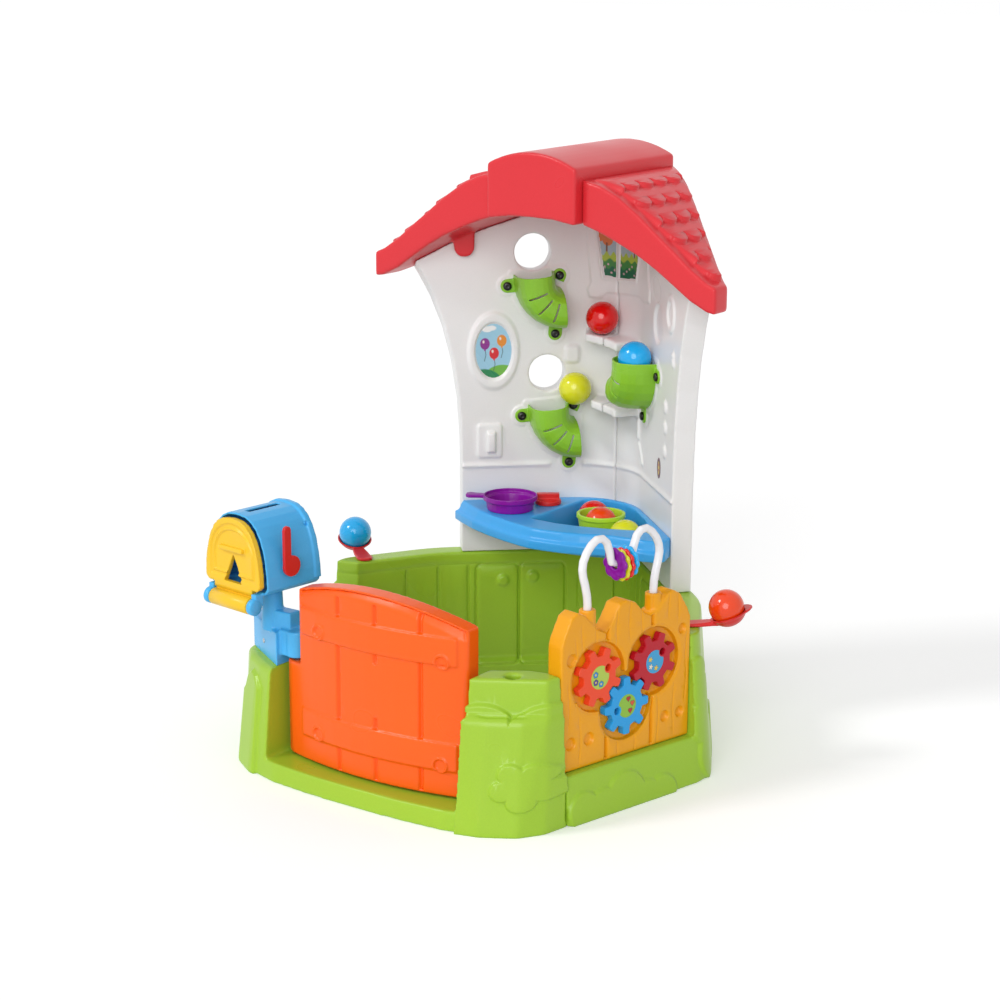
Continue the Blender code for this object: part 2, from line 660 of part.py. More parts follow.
def back_centre():
    return Vector((0.0, BACK_CENTRE_Y, 0.0))


def corner_centre(radius):
    """Centre of a rounding between the side wall and the rear wall, at its radius from their faces."""
    n_side = side_normal()
    n_bend = Vector((math.sin(BEND_ANGLE), math.cos(BEND_ANGLE), 0.0))
    inward = (n_side + n_bend) / (1.0 + n_side.dot(n_bend))
    return Vector((CORNER_X, CORNER_Y, 0.0)) - inward * (radius - SIDE_CORNER_RADIUS)


def base_path(outward, start):
    """Plan line of the right base wall from a place on the side wall to the back corner."""
    radius = max(SIDE_CORNER_RADIUS, INNER_CORNER_RADIUS - outward)
    centre = corner_centre(radius)
    corner = Vector((COLUMN_CORNER_X, COLUMN_CORNER_Y, 0.0))
    along_end = (centre - corner).dot(side_direction())
    points = [side_point(blend(start, along_end, k / 5), outward) for k in range(5)]
    arcs = ((centre, radius, math.pi - SIDE_ANGLE, BEND_ANGLE, 5),
            (Vector((BEND_X, BEND_Y, 0.0)), REAR_BEND_RADIUS, BEND_ANGLE, REAR_ANGLE, 3),
            (back_centre(), BACK_RADIUS, REAR_ANGLE, 0.0, 4))
    for middle, reach, first, last, steps in arcs:
        for k in range(steps + 1):
            angle = blend(first, last, k / steps)
            points.append(middle + Vector((math.sin(angle), math.cos(angle), 0.0)) * (reach + outward))
    shift = Vector((SEAT_GAP / 2, 0.0, 0.0))
    points[-1] = points[-1] + shift
    return points


def wall_matrix(side, along, height, out):
    """Frame on the white wall: X away from the back corner, Y up, Z into the room."""
    away = rear_direction()
    outward = rear_normal()
    place = back_centre() + outward * (WALL_FACE_RADIUS - out) + away * along
    away.x *= side
    inward = -outward
    inward.x *= side
    place.x *= side
    place.z = height
    return frame_matrix(away, Vector((0.0, 0.0, 1.0)), inward, place)


def panel_matrix(outward=0.0):
    """Frame on the right side wall: X along it, Y up, Z outward."""
    return frame_matrix(side_direction(), Vector((0.0, 0.0, 1.0)), side_normal(), side_point(0.0, outward))


def front_outline(level_share):
    """Half outline of the front section at a share of the way from its foot to its top."""
    outer = []
    for (gx, gy), (tx, ty) in zip(FRONT_GROUND_SHARES, FRONT_TOP_SHARES):
        outer.append((blend(gx, tx, level_share) * COLUMN_CORNER_X, blend(gy, ty, level_share) * SILL_FRONT))
    inner = [(x * COLUMN_CORNER_X, y * SILL_FRONT) for x, y in FRONT_INNER_SHARES]
    seam = PANEL_START - SEAT_GAP
    flare = blend(BASE_FLARE / 2, 0.0, level_share)
    outer[-1] = tuple(side_point(seam, flare).xy)
    inner[0] = tuple(side_point(seam, -COLUMN_END_DEPTH).xy)
    return outer, inner


def front_ring(height, level_share):
    outer, inner = front_outline(level_share)
    right = outer + inner
    left = [(-x, y) for x, y in reversed(right[1:-1])]
    return [(x, y, height) for x, y in right + left]


def column_outline(level_share, grow):
    """Outline of the left column above its shoulder, offset outward by a distance."""
    outer, inner = front_outline(level_share)
    jamb = Vector((DOORWAY_HALF, blend(outer[2][1], outer[3][1], 0.25)))
    corners = [jamb] + [Vector(p) for p in outer[3:] + inner[:2]] + [Vector((DOORWAY_HALF, inner[2][1]))]
    count = len(corners)
    grown = []
    for k in range(count):
        before, here, after = corners[k - 1], corners[k], corners[(k + 1) % count]
        first = (here - before).normalized()
        second = (after - here).normalized()
        normal = Vector((first.y, -first.x)) + Vector((second.y, -second.x))
        reach = grow / max(0.35, normal.normalized().dot(Vector((first.y, -first.x))))
        grown.append(here + normal.normalized() * reach)
    return [(-x, y) for x, y in grown]


def make_base_front():
    rings = [front_ring(level * COLUMN_HEIGHT, share) for level, share in FRONT_LEVEL_SHARES]
    base = loft("base_front", rings, "leaf_green")
    doorway = box("doorway_cutter", (-DOORWAY_HALF, -SILL_FRONT - CUT_OVERRUN, SILL_HEIGHT),
                  (DOORWAY_HALF, COLUMN_DEPTH + CUT_OVERRUN, COLUMN_HEIGHT + CUT_OVERRUN), None)
    hole_x = COLUMN_HOLE_SHARES[0] * COLUMN_CORNER_X
    hole_y = COLUMN_HOLE_SHARES[1] * COLUMN_CORNER_Y
    socket = cylinder("column_hole_cutter", COLUMN_HOLE_RADIUS, COLUMN_HEIGHT - COLUMN_HOLE_DEPTH,
                      COLUMN_HEIGHT + CUT_OVERRUN, None, Matrix.Translation((hole_x, hole_y, 0.0)))
    neck = loft("neck_cutter",
                [[(x, y, z) for x, y in column_outline(1.0, CUT_OVERRUN)]
                 for z in (BRACKET_FOOT - SEAT_GAP, COLUMN_HEIGHT + CUT_OVERRUN)], None)
    neck_core = loft("neck_core", [[(x, y, z) for x, y in column_outline(1.0, -BRACKET_WALL)]
                                   for z in (BRACKET_FOOT - CUT_OVERRUN, COLUMN_NECK_HEIGHT)], None)
    pin = cylinder("sill_pin_cutter", DOOR_PIN_RADIUS + SEAT_GAP, SILL_HEIGHT - DOOR_PIN_REACH,
                   SILL_HEIGHT + CUT_OVERRUN, None, Matrix.Translation(door_axis()))
    cut(base, doorway, socket, neck)
    join(base, neck_core)
    cut(base, pin)


def make_base_side(name, side, cut_height):
    """One side wall with its corner and rear wall, down to the open room."""
    start = PANEL_START
    inner = base_path(-BASE_WALL, start)
    ground = base_path(BASE_FLARE, start)
    top = base_path(0.0, start)
    foot = base_path(-BASE_WALL - FOOT_DEPTH, start)
    levels = (0.0, FOOT_HEIGHT, FOOT_HEIGHT + FOOT_DEPTH / 2, TALL_WALL_HEIGHT)
    front, back = [], []
    for level in levels:
        share = level / TALL_WALL_HEIGHT
        inside = foot if level <= FOOT_HEIGHT else inner
        front.append(mirrored([(p.x, p.y, level) for p in inside], side))
        back.append(mirrored([(*blend(g, t, share).xy, level) for g, t in zip(ground, top)], side))
    wall = slab(name, front, back, "leaf_green")
    low = (-CUT_OVERRUN, cut_height, -BASE_WALL - CUT_OVERRUN)
    high = (PANEL_END + 2 * SEAT_GAP, TALL_WALL_HEIGHT + CUT_OVERRUN, BASE_FLARE + CUT_OVERRUN)
    place = panel_matrix() if side > 0 else Matrix.Diagonal((-1.0, 1.0, 1.0, 1.0)) @ panel_matrix()
    cut(wall, box(name + "_cutter", low, high, None, place))


def roof_underside(x):
    return ROOF_UNDERSIDE - ROOF_DROP * follow(ROOF_UNDERSIDE_SHARES, abs(x) / ROOF_HALF_SPAN)


def roof_crest(x):
    return ROOF_CREST - ROOF_CREST_DROP * follow(ROOF_CREST_SHARES, abs(x) / ROOF_HALF_SPAN)


def wall_plan(run, depth):
    """Point of the right white wall, by its run from the back corner and its depth behind the face."""
    radius = WALL_FACE_RADIUS + depth
    bend = WALL_FACE_RADIUS * REAR_ANGLE
    if run <= bend:
        angle = run / WALL_FACE_RADIUS
        return back_centre() + Vector((math.sin(angle), math.cos(angle), 0.0)) * radius
    return back_centre() + rear_normal() * radius + rear_direction() * (run - bend)


def wall_runs(height):
    bend = WALL_FACE_RADIUS * REAR_ANGLE
    roof_at_end = roof_underside(COUNTER_HALF + WALL_FLARE * math.cos(REAR_ANGLE))
    share = max(0.0, height - WALL_FLARE_START) / (roof_at_end - WALL_FLARE_START)
    end = bend + WALL_STRAIGHT + WALL_FLARE * share ** 2.2
    return [bend * k / 10 for k in range(10)] + [blend(bend, end, k / 5) for k in range(6)]


def make_wall(name, side):
    foot = TALL_WALL_HEIGHT + SEAT_GAP
    roof_at_end = roof_underside(COUNTER_HALF + WALL_FLARE * math.cos(REAR_ANGLE))
    plain = [(foot, 0.0, foot), (BELT_BOTTOM, 0.0, BELT_BOTTOM),
             (BELT_BOTTOM, -BELT_DEPTH, blend(BELT_BOTTOM, BELT_TOP, 0.5)),
             (BELT_TOP, -BELT_DEPTH, BELT_TOP), (BELT_TOP + BELT_CHAMFER, 0.0, BELT_TOP + BELT_CHAMFER)]
    front, back = [], []
    for height, depth, back_height in plain:
        runs = wall_runs(height)
        front.append([(*wall_plan(run, depth).xy, height) for run in runs])
        back.append([(*wall_plan(run, WALL_THICKNESS).xy, back_height) for run in runs])
    start = BELT_TOP + BELT_CHAMFER
    for share in WALL_LEVEL_SHARES:
        runs = wall_runs(blend(start, roof_at_end, share))
        for grid, depth in ((front, 0.0), (back, WALL_THICKNESS)):
            row = []
            for run in runs:
                place = wall_plan(run, depth)
                row.append((*place.xy, blend(start, roof_underside(place.x) + CUT_OVERRUN, share)))
            grid.append(row)
    for grid in (front, back):
        for row in grid:
            row[0] = (SEAT_GAP / 2, *row[0][1:])
    wall = slab(name, [mirrored(row, side) for row in front], [mirrored(row, side) for row in back], "wall_white")
    cut(wall, roof_cutter(name + "_top_cutter", side))
    for funnel in FUNNELS[1:]:
        if funnel[1] == side:
            low = (-1.4 * FUNNEL_EAR_RADIUS, -FUNNEL_RADIUS - 2.2 * FUNNEL_EAR_RADIUS, SEAT_GAP / 2)
            high = (FUNNEL_RADIUS / 2, 2 * FUNNEL_EAR_RADIUS, CUT_OVERRUN)
            cut(wall, box(name + "_pad_cutter", low, high, None, wall_matrix(side, funnel[2], funnel[3], 0.0)))
    return wall


def roof_stations():
    """Places across the right half of the roof where its slope changes."""
    inner = [share * ROOF_HALF_SPAN for share, _ in ROOF_UNDERSIDE_SHARES]
    return [x for x in inner if x < RIDGE_HALF], [x for x in inner if x > RIDGE_HALF]


def roof_cutter(name, side):
    """Body that trims a wall to the underside of the roof."""
    over_ridge, over_wing = roof_stations()
    reach = ROOF_HALF_SPAN + CUT_OVERRUN
    low, high = [], []
    for x in [-CUT_OVERRUN] + over_ridge[1:] + [RIDGE_HALF] + over_wing + [reach]:
        height = roof_underside(x) - 2 * SEAT_GAP if x > 0.0 else ROOF_UNDERSIDE - 2 * SEAT_GAP
        low.append([(side * x, y, height) for y in (RIDGE_FRONT_Y, ROOF_BACK_Y + CUT_OVERRUN)])
        high.append([(side * x, y, ROOF_CREST) for y in (RIDGE_FRONT_Y, ROOF_BACK_Y + CUT_OVERRUN)])
    return slab(name, low, high, None)


def make_shelf(name, side, first_angle, last_angle, first_top, last_top):
    """Ball shelf that stands out of the rounded back corner."""
    inner = WALL_FACE_RADIUS - SHELF_DEPTH
    outer = WALL_FACE_RADIUS + WALL_THICKNESS / 4
    front, back = [], []
    for drop in (0.0, SHELF_THICKNESS):
        rows = ([], [])
        for k in range(5):
            angle = blend(first_angle, last_angle, k / 4)
            top = blend(first_top, last_top, k / 4) - drop
            for row, reach in zip(rows, (inner, outer)):
                place = back_centre() + Vector((side * math.sin(angle), math.cos(angle), 0.0)) * reach
                row.append((place.x, place.y, top))
        front.append(rows[0])
        back.append(rows[1])
    return slab(name, front, back, None)


def make_walls():
    left = make_wall("wall_left", -1)
    right = make_wall("wall_right", 1)
    for name, level, end in (("upper", UPPER_SHELF_Z, 1.0), ("lower", LOWER_SHELF_Z, 0.68)):
        join(left, make_shelf(name + "_left_shelf", -1, SHELF_SEAM_ANGLE, end * SHELF_ANGLE, level,
                              level + SHELF_FALL))
        join(right, make_shelf(name + "_right_shelf", 1, SHELF_SEAM_ANGLE, SHELF_ANGLE, level, level - SHELF_FALL))
    for name, along, height in (("upper_hole", UPPER_FUNNEL_ALONG, UPPER_FUNNEL_Z + UPPER_HOLE_RISE),
                                ("lower_hole", LOWER_FUNNEL_ALONG, LOWER_FUNNEL_Z + LOWER_HOLE_RISE)):
        cut(left, cylinder(name + "_cutter", WALL_HOLE_RADIUS, -WALL_THICKNESS - CUT_OVERRUN, CUT_OVERRUN, None,
                           wall_matrix(-1, along + WALL_HOLE_SHIFT, height, 0.0)))


def make_roof_wing(name, side):
    stations = [RIDGE_HALF + SEAT_GAP] + roof_stations()[1]
    low, high = [], []
    for x in stations:
        share = (x - stations[0]) / (ROOF_HALF_SPAN - stations[0])
        back_y = blend(ROOF_BACK_Y, ROOF_FRONT_Y + ROOF_TIP_DEPTH, share)
        low.append([(side * x, y, roof_underside(x)) for y in (ROOF_FRONT_Y, back_y)])
        high.append([(side * x, y, roof_crest(x)) for y in (ROOF_FRONT_Y, back_y)])
    wing = slab(name, low, high, "roof_red")
    away = LUG_ALONG * math.cos(REAR_ANGLE) + WALL_FACE_RADIUS * math.sin(REAR_ANGLE)
    top = roof_underside(away) + LUG_RADIUS
    out = LUG_THICKNESS / 2 + 2 * SEAT_GAP
    place = wall_matrix(side, LUG_ALONG, top - LUG_RADIUS - LUG_DROP, out)
    lug = cylinder(name + "_lug", LUG_RADIUS, -LUG_THICKNESS / 2, LUG_THICKNESS / 2, None, place)
    block = box(name + "_lug_block", (-LUG_RADIUS, 0.0, -LUG_THICKNESS / 2),
                (LUG_RADIUS, LUG_RADIUS + LUG_DROP, LUG_THICKNESS / 2), None, place)
    join(wing, block, lug)


def make_ridge():
    stations = [RIDGE_HALF] + roof_stations()[0][::-1]
    half = [(x, roof_underside(x)) for x in stations]
    under = half + [(-x, z) for x, z in reversed(half[:-1])]
    over = []
    for k in range(13):
        x = blend(-RIDGE_HALF, RIDGE_HALF, k / 12)
        over.append((x, RIDGE_TOP - RIDGE_ARCH * (x / RIDGE_HALF) ** 2))
    length = ROOF_BACK_Y - RIDGE_FRONT_Y
    middle = (ROOF_BACK_Y + RIDGE_FRONT_Y) / 2
    place = Matrix.Translation((0.0, middle, 0.0)) @ Matrix.Rotation(math.pi / 2, 4, "X")
    plate("roof_ridge", under + over, length, "roof_red", place)


def counter_front(share, margin):
    """Front edge of the counter, moved inward by a margin."""
    depth_share = follow(COUNTER_FRONT_SHARES, share)
    x = share * (COUNTER_HALF - margin)
    y = blend(COUNTER_END_Y, COUNTER_FRONT_Y, depth_share) + margin
    return x, y


def counter_back(margin):
    """Back edge along the white wall from its right end to its left end."""
    bend = WALL_FACE_RADIUS * REAR_ANGLE
    last = bend + (COUNTER_HALF - WALL_FACE_RADIUS * math.sin(REAR_ANGLE)) / math.cos(REAR_ANGLE) - margin
    runs = [blend(last, bend, k / 3) for k in range(3)] + [bend * (1.0 - k / 4) for k in range(4)]
    right = [wall_plan(run, -margin - 2 * SEAT_GAP) for run in runs]
    middle = wall_plan(0.0, -margin - 2 * SEAT_GAP)
    left = [Vector((-p.x, p.y, 0.0)) for p in reversed(right)]
    return [(p.x, p.y) for p in right + [middle] + left]


def counter_ring(height, margin):
    front = [counter_front(share, margin) for share, _ in COUNTER_FRONT_SHARES]
    return [(x, y, height) for x, y in front + counter_back(0.0)]


def sink_ring(height, margin):
    """Outline of the sink, moved inward by a margin."""
    first, last = SINK_FRONT_SHARES[0], SINK_FRONT_SHARES[-1]
    ring = []
    for share, depth_share in SINK_FRONT_SHARES:
        x = share * COUNTER_HALF
        y = blend(COUNTER_END_Y, COUNTER_FRONT_Y, depth_share) + margin
        if share == first[0]:
            x += margin
        if share == last[0]:
            x -= 2 * margin
        ring.append((x, y))
    bend = WALL_FACE_RADIUS * REAR_ANGLE
    for share in SINK_BACK_SHARES:
        run = share * (bend + WALL_STRAIGHT) - (2 * margin if share == SINK_BACK_SHARES[0] else 0.0)
        place = wall_plan(run, -SINK_BACK_MARGIN - margin)
        ring.append((place.x, place.y))
    left = first[0] * COUNTER_HALF + margin
    ring.append((left * 0.6, ring[-1][1] - SINK_DRAFT))
    ring.append((left * 0.93, ring[-1][1] - 4 * SINK_DRAFT))
    return [(x, y, height) for x, y in ring]


def counter_place(x, behind, height):
    """Place on the counter, by its distance behind the line through the counter's ends."""
    return Vector((x, COUNTER_END_Y + behind, height))


def make_counter():
    bottom = COUNTER_TOP - COUNTER_THICKNESS
    rings = [counter_ring(bottom, -COUNTER_LIP), counter_ring(bottom + COUNTER_THICKNESS * 0.45, -COUNTER_LIP),
             counter_ring(bottom + COUNTER_THICKNESS * 0.55, -COUNTER_LIP / 2),
             counter_ring(COUNTER_TOP - COUNTER_LIP / 2, -COUNTER_LIP / 4), counter_ring(COUNTER_TOP, 0.0)]
    counter = loft("countertop", rings, "counter_blue")
    floor = COUNTER_TOP - SINK_DEPTH
    basin = loft("basin_tool", [sink_ring(floor - SINK_WALL, SINK_DRAFT - SINK_WALL),
                                sink_ring(COUNTER_TOP - COUNTER_LIP, -SINK_WALL)], None)
    join(counter, basin)
    sink = loft("sink_cutter", [sink_ring(floor, SINK_DRAFT),
                                sink_ring(COUNTER_TOP, 0.0), sink_ring(COUNTER_TOP + CUT_OVERRUN, 0.0)], None)
    stem = cylinder("stem_cutter", KNOB_STEM_RADIUS + RUNNING_GAP, COUNTER_TOP - KNOB_STEM_DEPTH - SEAT_GAP,
                    COUNTER_TOP + CUT_OVERRUN, None, Matrix.Translation(counter_place(KNOB_X, KNOB_BEHIND, 0.0)))
    cut(counter, sink, stem)


def make_pan():
    """Pan with its handle; the bowl rests on the counter."""
    inner = PAN_RADIUS - PAN_WALL
    foot = PAN_RADIUS * 0.85
    profile = [(0.0, PAN_WALL), (foot - PAN_WALL, PAN_WALL),
               (foot, PAN_HEIGHT * 0.7), (inner, PAN_HEIGHT * 0.76), (inner, PAN_HEIGHT),
               (PAN_RADIUS, PAN_HEIGHT), (PAN_RADIUS, PAN_HEIGHT * 0.68), (foot + PAN_WALL, PAN_HEIGHT * 0.62),
               (foot, 0.0), (0.0, 0.0)]
    place = Matrix.Translation(counter_place(PAN_X, -PAN_FORWARD, COUNTER_TOP + SEAT_GAP))
    pan = turned("pan", profile, "pan_purple", place)
    turn = Matrix.Rotation(PAN_HANDLE_ANGLE, 4, "Z")
    width = PAN_HANDLE * 0.33
    start = PAN_RADIUS - PAN_WALL / 2
    outline = [(start, -width * 0.7), (start + PAN_HANDLE * 0.4, -width * 0.75), (start + PAN_HANDLE * 0.8, -width),
               (start + PAN_HANDLE, -width * 0.55), (start + PAN_HANDLE, width * 0.55),
               (start + PAN_HANDLE * 0.8, width), (start + PAN_HANDLE * 0.4, width * 0.75), (start, width * 0.7)]
    lift = Matrix.Translation((0.0, 0.0, PAN_HEIGHT * 0.84))
    handle = plate("pan_handle_tool", outline, PAN_HEIGHT * 0.24, None, place @ turn @ lift)
    join(pan, handle)


def make_cup():
    foot = CUP_RADIUS * 0.80
    rim = CUP_HEIGHT * 0.14
    inner = CUP_RADIUS - 2 * CUP_WALL
    profile = [(0.0, CUP_FLOOR), (foot - CUP_WALL, CUP_FLOOR), (inner, CUP_HEIGHT), (CUP_RADIUS, CUP_HEIGHT),
               (CUP_RADIUS, CUP_HEIGHT - rim), (inner + CUP_WALL, CUP_HEIGHT - rim), (foot, 0.0), (0.0, 0.0)]
    floor = COUNTER_TOP - SINK_DEPTH + SEAT_GAP
    turned("cup", profile, "cup_lime", Matrix.Translation(counter_place(CUP_X, CUP_BEHIND, floor)))


def make_knob():
    seat = COUNTER_TOP + SEAT_GAP
    place = Matrix.Translation(counter_place(KNOB_X, KNOB_BEHIND, seat))
    profile = [(0.0, KNOB_HEIGHT), (KNOB_RADIUS * 0.9, KNOB_HEIGHT), (KNOB_RADIUS, KNOB_HEIGHT * 0.75),
               (KNOB_RADIUS, 0.0), (KNOB_STEM_RADIUS, 0.0), (KNOB_STEM_RADIUS, -KNOB_STEM_DEPTH),
               (0.0, -KNOB_STEM_DEPTH)]
    knob = turned("stove_knob", profile, "flag_red", place)
    half = KNOB_RADIUS * 0.85
    turn = Matrix.Rotation(SPOON_ANGLE, 4, "Z")
    grip = box("knob_grip_tool", (-half, -KNOB_GRIP_WIDTH / 2, KNOB_HEIGHT / 2),
               (half, KNOB_GRIP_WIDTH / 2, KNOB_HEIGHT + KNOB_GRIP_HEIGHT), None, place @ turn)
    join(knob, grip)


def funnel_arch(inner, outer, depth):
    """Half section of the funnel's bend: radius from the pivot and height over the wall."""
    middle, half = (inner + outer) / 2, (outer - inner) / 2
    arch = []
    for share in FUNNEL_ARCH_SHARES:
        rise = (1.0 - abs(share) ** FUNNEL_FULLNESS) ** (1.0 / FUNNEL_FULLNESS)
        arch.append((middle + half * share, SEAT_GAP + (depth - SEAT_GAP) * rise))
    return arch


def funnel_grid(inner, outer, depth):
    """Rows of arches, first straight down from the inlet and then round to the outlet."""
    arch = funnel_arch(inner, outer, depth)
    rows = [[(reach, FUNNEL_INLET, height) for reach, height in arch]]
    for k in range(8):
        angle = -math.pi / 2 * k / 7
        rows.append([(reach * math.cos(angle), reach * math.sin(angle), height) for reach, height in arch])
    return rows


def funnel_tab(name, matrix, place, angle, length):
    """Screw ear with a round end and a leg that reaches the funnel's wall."""
    points = [(length, FUNNEL_EAR_RADIUS), (length, -FUNNEL_EAR_RADIUS)]
    for k in range(11):
        turn = math.radians(-90.0) - math.pi * k / 10
        points.append((FUNNEL_EAR_RADIUS * math.cos(turn), FUNNEL_EAR_RADIUS * math.sin(turn)))
    lift = FUNNEL_EAR_THICKNESS / 2 + 2 * SEAT_GAP
    frame = matrix @ Matrix.Translation((*place, lift)) @ Matrix.Rotation(angle, 4, "Z")
    return plate(name, points, FUNNEL_EAR_THICKNESS, None, frame)


def make_funnel(name, matrix):
    """Half-round bend that takes a ball from above and lets it out sideways."""
    outer = funnel_grid(FUNNEL_PIVOT_RADIUS, FUNNEL_RADIUS, FUNNEL_DEPTH)
    inner = funnel_grid(FUNNEL_PIVOT_RADIUS + FUNNEL_WALL, FUNNEL_RADIUS - FUNNEL_WALL, FUNNEL_DEPTH - FUNNEL_WALL)
    funnel = slab(name, outer, inner, "funnel_green", matrix)
    slots = []
    for k, angle in enumerate(FUNNEL_SLOT_ANGLES):
        place = matrix @ Matrix.Rotation(angle, 4, "Z")
        low = (FUNNEL_RADIUS * 0.40, -FUNNEL_SLOT_WIDTH / 2, FUNNEL_DEPTH / 2)
        high = (FUNNEL_RADIUS * 0.83, FUNNEL_SLOT_WIDTH / 2, FUNNEL_DEPTH + CUT_OVERRUN)
        slots.append(box(f"{name}_slot_cutter_{k}", low, high, None, place))
    tabs = []
    for k, (place, angle) in enumerate(zip(funnel_ears(), FUNNEL_TAB_ANGLES)):
        reach = FUNNEL_EAR_RADIUS + FUNNEL_WALL if k != 1 else FUNNEL_EAR_RADIUS * 0.7
        tabs.append(funnel_tab(f"{name}_tab_{k}", matrix, place, angle, reach))
    cut(funnel, *slots)
    join(funnel, *tabs)


def funnel_ears():
    """Middles of the three ears: past the inlet's far end, over the pivot and under the outlet."""
    return ((FUNNEL_RADIUS + FUNNEL_EAR_RADIUS, 0.0), (0.0, FUNNEL_EAR_RADIUS * 0.8),
            (FUNNEL_EAR_RADIUS * 1.3, -FUNNEL_RADIUS - FUNNEL_EAR_RADIUS * 0.95))


def funnel_matrix(funnel):
    _, side, along, height = funnel
    return wall_matrix(side, along, height, SEAT_GAP) @ Matrix.Rotation(FUNNEL_TILT, 4, "Z")


def make_funnels():
    for funnel in FUNNELS:
        name = funnel[0]
        matrix = funnel_matrix(funnel)
        make_funnel(name, matrix)
        for k, (x, y) in enumerate(funnel_ears()):
            place = matrix @ Matrix.Translation((x, y, FUNNEL_EAR_THICKNESS + 3 * SEAT_GAP))
            cap = cylinder(f"{name}_cap_{k + 1}", CAP_RADIUS, 0.0, CAP_HEIGHT, "cap_black", place,
                           top_radius=CAP_RADIUS * 0.6, segments=16)
            set_origin(cap, place.translation)


def door_arc_y(x):
    return DOOR_MIDDLE_Y + DOOR_BULGE * (x / DOOR_LEFT) ** 2


def door_axis():
    return Vector((-DOOR_PIN_X, door_arc_y(-DOOR_PIN_X), 0.0))


def door_crest(x):
    return DOOR_CREST - DOOR_CREST_DROP * (x / DOOR_RIGHT) ** 2


def make_door():
    half = DOOR_THICKNESS / 2
    stations = [(-DOOR_LEFT, 0.35), (-DOOR_LEFT + half * 0.3, 0.75), (-DOOR_PIN_X, 1.0)]
    stations += [(blend(-DOOR_PIN_X, DOOR_RIGHT - half * 0.4, k / 12), 1.0) for k in range(1, 13)]
    stations += [(DOOR_RIGHT, 0.8)]
    front, back = [], []
    for share in (0.0, 1.0):
        faces = ([], [])
        for x, width_share in stations:
            height = blend(DOOR_BOTTOM, door_crest(x), share)
            for face, sign in zip(faces, (-1.0, 1.0)):
                face.append((x, door_arc_y(x) + sign * half * width_share, height))
        front.append(faces[0])
        back.append(faces[1])
    door = slab("door", front, back, "door_orange")
    for name, middle in (("upper", UPPER_BATTEN_Z), ("lower", LOWER_BATTEN_Z)):
        front, back = [], []
        for height in (middle - BATTEN_HEIGHT / 2, middle + BATTEN_HEIGHT / 2):
            xs = [blend(-DOOR_NOTCH_X + BATTEN_MARGIN / 2, DOOR_RIGHT - BATTEN_MARGIN, k / 8) for k in range(9)]
            front.append([(x, door_arc_y(x) - half - BATTEN_DEPTH, height) for x in xs])
            back.append([(x, door_arc_y(x) - half + BATTEN_DEPTH, height) for x in xs])
        join(door, slab(name + "_batten_tool", front, back, None))
    notch = box("notch_cutter", (-DOOR_LEFT - CUT_OVERRUN, -DOOR_LEFT, DOOR_NOTCH_Z),
                (-DOOR_NOTCH_X, DOOR_LEFT, DOOR_CREST + CUT_OVERRUN), None)
    axis = door_axis()
    bore = DOOR_PIN_RADIUS + RUNNING_GAP
    upper = cylinder("upper_bore_cutter", bore, DOOR_NOTCH_Z - DOOR_PIN_REACH - SEAT_GAP, DOOR_NOTCH_Z + CUT_OVERRUN,
                     None, Matrix.Translation(axis))
    lower = cylinder("lower_bore_cutter", bore, DOOR_BOTTOM - CUT_OVERRUN, DOOR_BOTTOM + DOOR_PIN_REACH + SEAT_GAP,
                     None, Matrix.Translation(axis))
    cut(door, notch, upper, lower)
    set_origin(door, axis)
    for name, low, high in (("upper_door_pin", DOOR_NOTCH_Z - DOOR_PIN_REACH, KNUCKLE_TOP - DOOR_PIN_REACH),
                            ("lower_door_pin", SILL_HEIGHT - DOOR_PIN_REACH + SEAT_GAP,
                             DOOR_BOTTOM + DOOR_PIN_REACH)):
        pin = cylinder(name, DOOR_PIN_RADIUS, low, high, "steel", Matrix.Translation(axis), segments=20)
        set_origin(pin, axis)


def make_bracket():
    """Bracket that caps the left column, holds the door's upper pin and carries the mailbox post."""
    skin = [[(x, y, z) for x, y in column_outline(1.0, 0.0)] for z in (BRACKET_FOOT, BRACKET_TOP)]
    bracket = loft("mailbox_bracket", skin, "mail_blue")
    core = loft("bracket_cutter", [[(x, y, z) for x, y in column_outline(1.0, SEAT_GAP - BRACKET_WALL)]
                                   for z in (BRACKET_FOOT - CUT_OVERRUN, COLUMN_NECK_HEIGHT + SEAT_GAP)], None)
    axis = door_axis()
    half = DOOR_THICKNESS / 2
    knuckle = box("knuckle_tool", (-DOORWAY_HALF - BRACKET_WALL / 2, axis.y - half, KNUCKLE_BOTTOM),
                  (axis.x, axis.y + half, KNUCKLE_TOP), None)
    barrel = cylinder("barrel_tool", KNUCKLE_RADIUS, KNUCKLE_BOTTOM, KNUCKLE_TOP, None, Matrix.Translation(axis))
    riser = box("riser_tool", (-POST_X + POST_RADIUS * 0.6, axis.y - half / 2, BRACKET_TOP - BRACKET_WALL),
                (-DOORWAY_HALF + POST_RADIUS * 0.8, axis.y + half, BRACKET_TOP + BRACKET_WALL * 7), None)
    post = cylinder("post_tool", POST_RADIUS, BRACKET_TOP - BRACKET_WALL, MAILBOX_BOTTOM - SEAT_GAP, None,
                    Matrix.Translation((-POST_X, POST_Y, 0.0)), top_radius=POST_RADIUS * 0.85)
    pin = cylinder("knuckle_pin_cutter", DOOR_PIN_RADIUS + SEAT_GAP, KNUCKLE_BOTTOM - CUT_OVERRUN,
                   KNUCKLE_TOP - DOOR_PIN_REACH + SEAT_GAP, None, Matrix.Translation(axis))
    cut(bracket, core)
    join(bracket, knuckle, barrel, riser, post)
    cut(bracket, pin)


def mailbox_matrix():
    turn = Matrix.Rotation(MAILBOX_TURN, 4, "Z")
    return Matrix.Translation((-MAILBOX_X, MAILBOX_Y, 0.0)) @ turn


